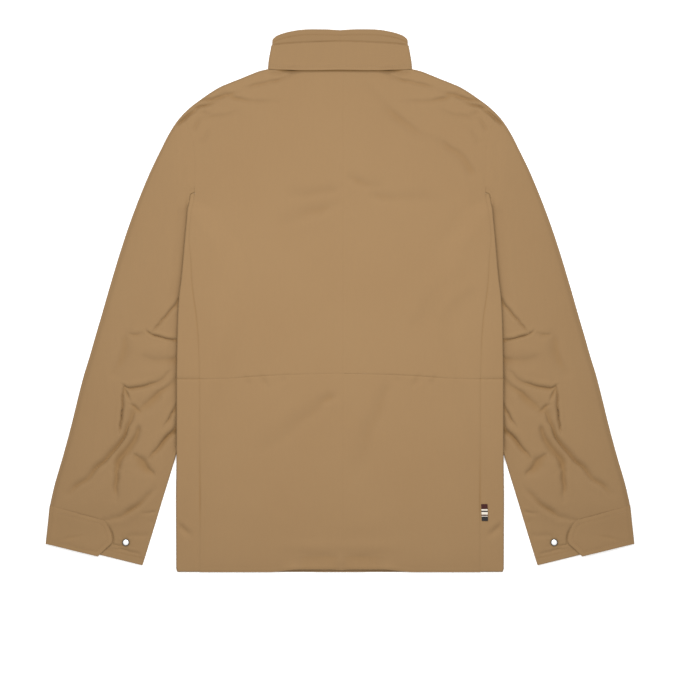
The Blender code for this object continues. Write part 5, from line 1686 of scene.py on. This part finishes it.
def label_material():
    """Woven tab: charcoal and burgundy ends, thin cream stripes between."""
    mat, nt, shader = new_material("label_weave")
    new, link = nt.nodes.new, nt.links.new
    uv = new("ShaderNodeUVMap")
    uv.uv_map = "thread"
    split = new("ShaderNodeSeparateXYZ")
    link(uv.outputs["UV"], split.inputs[0])
    share = new("ShaderNodeMath")
    share.operation = "DIVIDE"
    share.inputs[1].default_value = 25.2
    link(split.outputs["Y"], share.inputs[0])
    ramp = new("ShaderNodeValToRGB")
    ramp.color_ramp.interpolation = "CONSTANT"
    bands = [(0.0, (0.052, 0.016, 0.014)), (0.30, (0.70, 0.64, 0.54)),
             (0.385, (0.028, 0.026, 0.026)), (0.47, (0.70, 0.64, 0.54)),
             (0.62, (0.052, 0.016, 0.014)), (0.70, (0.70, 0.64, 0.54)),
             (0.735, (0.028, 0.026, 0.026))]
    ramp.color_ramp.elements[0].position = 0.0
    ramp.color_ramp.elements[0].color = (*bands[0][1], 1)
    ramp.color_ramp.elements[1].position = bands[1][0]
    ramp.color_ramp.elements[1].color = (*bands[1][1], 1)
    for pos, col in bands[2:]:
        e = ramp.color_ramp.elements.new(pos)
        e.color = (*col, 1)
    link(share.outputs[0], ramp.inputs["Fac"])

    def wave(socket, pitch):
        a = new("ShaderNodeMath")
        a.operation = "MULTIPLY"
        a.inputs[1].default_value = math.pi / pitch
        link(socket, a.inputs[0])
        b = new("ShaderNodeMath")
        b.operation = "SINE"
        link(a.outputs[0], b.inputs[0])
        return b.outputs[0]

    product = new("ShaderNodeMath")
    product.operation = "MULTIPLY"
    link(wave(split.outputs["X"], 0.30), product.inputs[0])
    link(wave(split.outputs["Y"], 0.22), product.inputs[1])
    tone = new("ShaderNodeMath")
    tone.operation = "MULTIPLY_ADD"
    tone.inputs[1].default_value = 0.22
    tone.inputs[2].default_value = 1.0
    link(product.outputs[0], tone.inputs[0])
    shade = new("ShaderNodeVectorMath")
    shade.operation = "SCALE"
    link(ramp.outputs["Color"], shade.inputs[0])
    link(tone.outputs[0], shade.inputs["Scale"])
    link(shade.outputs["Vector"], shader.inputs["Base Color"])
    bump = new("ShaderNodeBump")
    bump.inputs["Strength"].default_value = 0.6
    bump.inputs["Distance"].default_value = 0.00008
    link(product.outputs[0], bump.inputs["Height"])
    link(bump.outputs["Normal"], shader.inputs["Normal"])
    shader.inputs["Roughness"].default_value = 0.75
    shader.inputs["Specular IOR Level"].default_value = 0.12
    return mat


def metal_material():
    """Silver snap cap: polished, with fine turning marks and small scuffs; a near-white diffuse half
    paints in its bright reflection.
    """
    mat, nt, shader = new_material("snap_metal")
    new, link = nt.nodes.new, nt.links.new
    coord = new("ShaderNodeTexCoord")
    split = new("ShaderNodeSeparateXYZ")
    link(coord.outputs["Object"], split.inputs[0])
    flat = new("ShaderNodeCombineXYZ")
    link(split.outputs["X"], flat.inputs["X"])
    link(split.outputs["Y"], flat.inputs["Y"])
    radius = new("ShaderNodeVectorMath")
    radius.operation = "LENGTH"
    link(flat.outputs["Vector"], radius.inputs[0])
    rings = new("ShaderNodeMath")
    rings.operation = "MULTIPLY"
    rings.inputs[1].default_value = 2 * math.pi / 0.00022
    link(radius.outputs["Value"], rings.inputs[0])
    wave = new("ShaderNodeMath")
    wave.operation = "SINE"
    link(rings.outputs[0], wave.inputs[0])
    scuff = new("ShaderNodeTexNoise")
    scuff.inputs["Scale"].default_value = 900.0
    scuff.inputs["Detail"].default_value = 4.0
    link(coord.outputs["Object"], scuff.inputs["Vector"])
    rough = new("ShaderNodeMapRange")
    rough.inputs["From Min"].default_value = 0.3
    rough.inputs["From Max"].default_value = 0.7
    rough.inputs["To Min"].default_value = 0.22
    rough.inputs["To Max"].default_value = 0.36
    link(scuff.outputs["Fac"], rough.inputs["Value"])
    link(rough.outputs["Result"], shader.inputs["Roughness"])
    # painted shade: the groove round the cap is near black, darker than the cap
    groove = new("ShaderNodeMapRange")
    groove.inputs["From Min"].default_value = 0.0041
    groove.inputs["From Max"].default_value = 0.0044
    groove.inputs["To Min"].default_value = 0.0
    groove.inputs["To Max"].default_value = 1.0
    link(radius.outputs["Value"], groove.inputs["Value"])
    mix = new("ShaderNodeMix")
    mix.data_type = "RGBA"
    mix.inputs["A"].default_value = (0.93, 0.93, 0.92, 1)
    mix.inputs["B"].default_value = (0.045, 0.042, 0.040, 1)
    link(groove.outputs["Result"], mix.inputs["Factor"])
    link(mix.outputs["Result"], shader.inputs["Base Color"])
    # half metallic silver, half near-white diffuse colour: the diffuse half is a painted reflection
    # that keeps the cap white all over
    shader.inputs["Metallic"].default_value = 0.5
    bump = new("ShaderNodeBump")
    bump.inputs["Strength"].default_value = 0.12
    bump.inputs["Distance"].default_value = 0.00002
    link(wave.outputs[0], bump.inputs["Height"])
    link(bump.outputs["Normal"], shader.inputs["Normal"])
    return mat


def thread_material(colour):
    mat, nt, shader = new_material("sewing_thread")
    new, link = nt.nodes.new, nt.links.new
    coord = new("ShaderNodeTexCoord")
    twist = new("ShaderNodeTexNoise")
    twist.inputs["Scale"].default_value = 2400.0
    link(coord.outputs["Object"], twist.inputs["Vector"])
    mix = new("ShaderNodeMix")
    mix.data_type = "RGBA"
    mix.inputs["A"].default_value = (*[c * 0.86 for c in colour], 1)
    mix.inputs["B"].default_value = (*[min(1, c * 1.14) for c in colour], 1)
    link(twist.outputs["Fac"], mix.inputs["Factor"])
    link(mix.outputs["Result"], shader.inputs["Base Color"])
    bump = new("ShaderNodeBump")
    bump.inputs["Strength"].default_value = 0.5
    bump.inputs["Distance"].default_value = 0.00004
    link(twist.outputs["Fac"], bump.inputs["Height"])
    link(bump.outputs["Normal"], shader.inputs["Normal"])
    shader.inputs["Roughness"].default_value = 0.55
    shader.inputs["Sheen Weight"].default_value = 0.15
    return mat


TAN = (0.2625, 0.1580, 0.0722)
shell_cloth = cloth_material("tan_poplin", TAN)
# darker copies of the same cloth: painted shade on the collar flap and, more, on the stand
flap_cloth_painted_shade = cloth_material("tan_poplin_flap_painted_shade", tuple(c * 0.975 for c in TAN))
stand_cloth_painted_shade = cloth_material("tan_poplin_stand_painted_shade", tuple(c * 0.945 for c in TAN))
metal = metal_material()
thread = thread_material((0.268, 0.164, 0.078))
woven = label_material()


def dress(obj, material, nodes):
    obj.data.materials.append(material)
    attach(obj, "root")
    if nodes:
        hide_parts(*nodes)


# -------------------------------------------------------------------- build
# The pieces, by the name of the part each one dresses.
made = {}
for side, sign in (("left", -1), ("right", 1)):
    made["back_upper_" + side] = back_upper(sign)
    made["back_skirt_" + side] = back_skirt(sign)
    made["front_upper_" + side] = front_upper("cloth_front_upper_" + side, sign)
    made["front_skirt_" + side] = front_skirt("cloth_front_skirt_" + side, sign)
    made["sleeve_" + side] = sleeve(sign)
    made["cuff_tab_" + side] = cuff_tab(sign)
    made["snap_" + side] = snap(sign)
made["fly_flap"] = fly_flap()
made["collar_stand"] = collar_stand()
made["collar_flap"] = collar_flap()
made["label_tab"] = label()

for node, obj in made.items():
    if node.startswith("snap"):
        dress(obj, metal, [node])
    elif node.startswith("label"):
        dress(obj, woven, [node])
    elif node == "collar_stand":
        dress(obj, stand_cloth_painted_shade, [node])
    elif node == "collar_flap":
        dress(obj, flap_cloth_painted_shade, [node])
    else:
        dress(obj, shell_cloth, [node])

for label_, runs in sorted(STITCH_RUNS.items()):
    obj = stitches("stitches_" + label_, runs)
    dress(obj, thread, [])

# ------------------------------------------------------------ light, camera
def place(obj, location, target):
    from mathutils import Vector
    obj.location = location
    obj.rotation_euler = (Vector(target) - Vector(location)).to_track_quat("-Z", "Y").to_euler()


def area_light(name, location, target, size, power, colour=(1.0, 1.0, 1.0)):
    data = bpy.data.lights.new(name, "AREA")
    data.shape = "RECTANGLE"
    data.size, data.size_y = size
    data.energy = power
    data.color = colour
    obj = bpy.data.objects.new(name, data)
    bpy.context.scene.collection.objects.link(obj)
    obj.visible_camera = False
    place(obj, location, target)
    return obj


floor_mesh = bpy.data.meshes.new("studio_floor")
floor_mesh.from_pydata([(-4, -4, 0), (4, -4, 0), (4, 4, 0), (-4, 4, 0)], [], [(0, 1, 2, 3)])
floor = bpy.data.objects.new("studio_floor", floor_mesh)
bpy.context.scene.collection.objects.link(floor)
floor_mat, floor_nt, floor_shader = new_material("studio_white")
floor_shader.inputs["Base Color"].default_value = (0.96, 0.96, 0.96, 1)
floor_shader.inputs["Roughness"].default_value = 0.9
floor_shader.inputs["Specular IOR Level"].default_value = 0.1
floor_shader.inputs["Emission Color"].default_value = (1.0, 1.0, 1.0, 1)
floor_shader.inputs["Emission Strength"].default_value = 0.30
floor_mesh.materials.append(floor_mat)
floor.location.z = -0.0004

world = bpy.data.worlds.new("studio")
bpy.context.scene.world = world
world.use_nodes = True
world.node_tree.nodes["Background"].inputs["Color"].default_value = (1.0, 1.0, 1.0, 1)
world.node_tree.nodes["Background"].inputs["Strength"].default_value = 0.56
area_light("softbox_over", (-0.032, 0.06, 0.92), (-0.032, 0.06, 0.0), (1.0, 0.9), 8.6)
area_light("softbox_top", (0.0, 3.0, 2.6), (0.0, 0.1, 0.0), (2.6, 1.2), 68.0)

cam_data = bpy.data.cameras.new("camera")
cam = bpy.data.objects.new("camera", cam_data)
bpy.context.scene.collection.objects.link(cam)
cam_data.sensor_width = 36.0
cam_data.lens = 36.0 * 3.0 / 1.020
cam_data.clip_end = 20.0
cam.location = (0.0, -0.05925, 3.005)
cam.rotation_euler = (0.0, 0.0, 0.0)
bpy.context.scene.camera = cam
bpy.context.scene.view_settings.view_transform = "Standard"

bpy.context.view_layer.update()
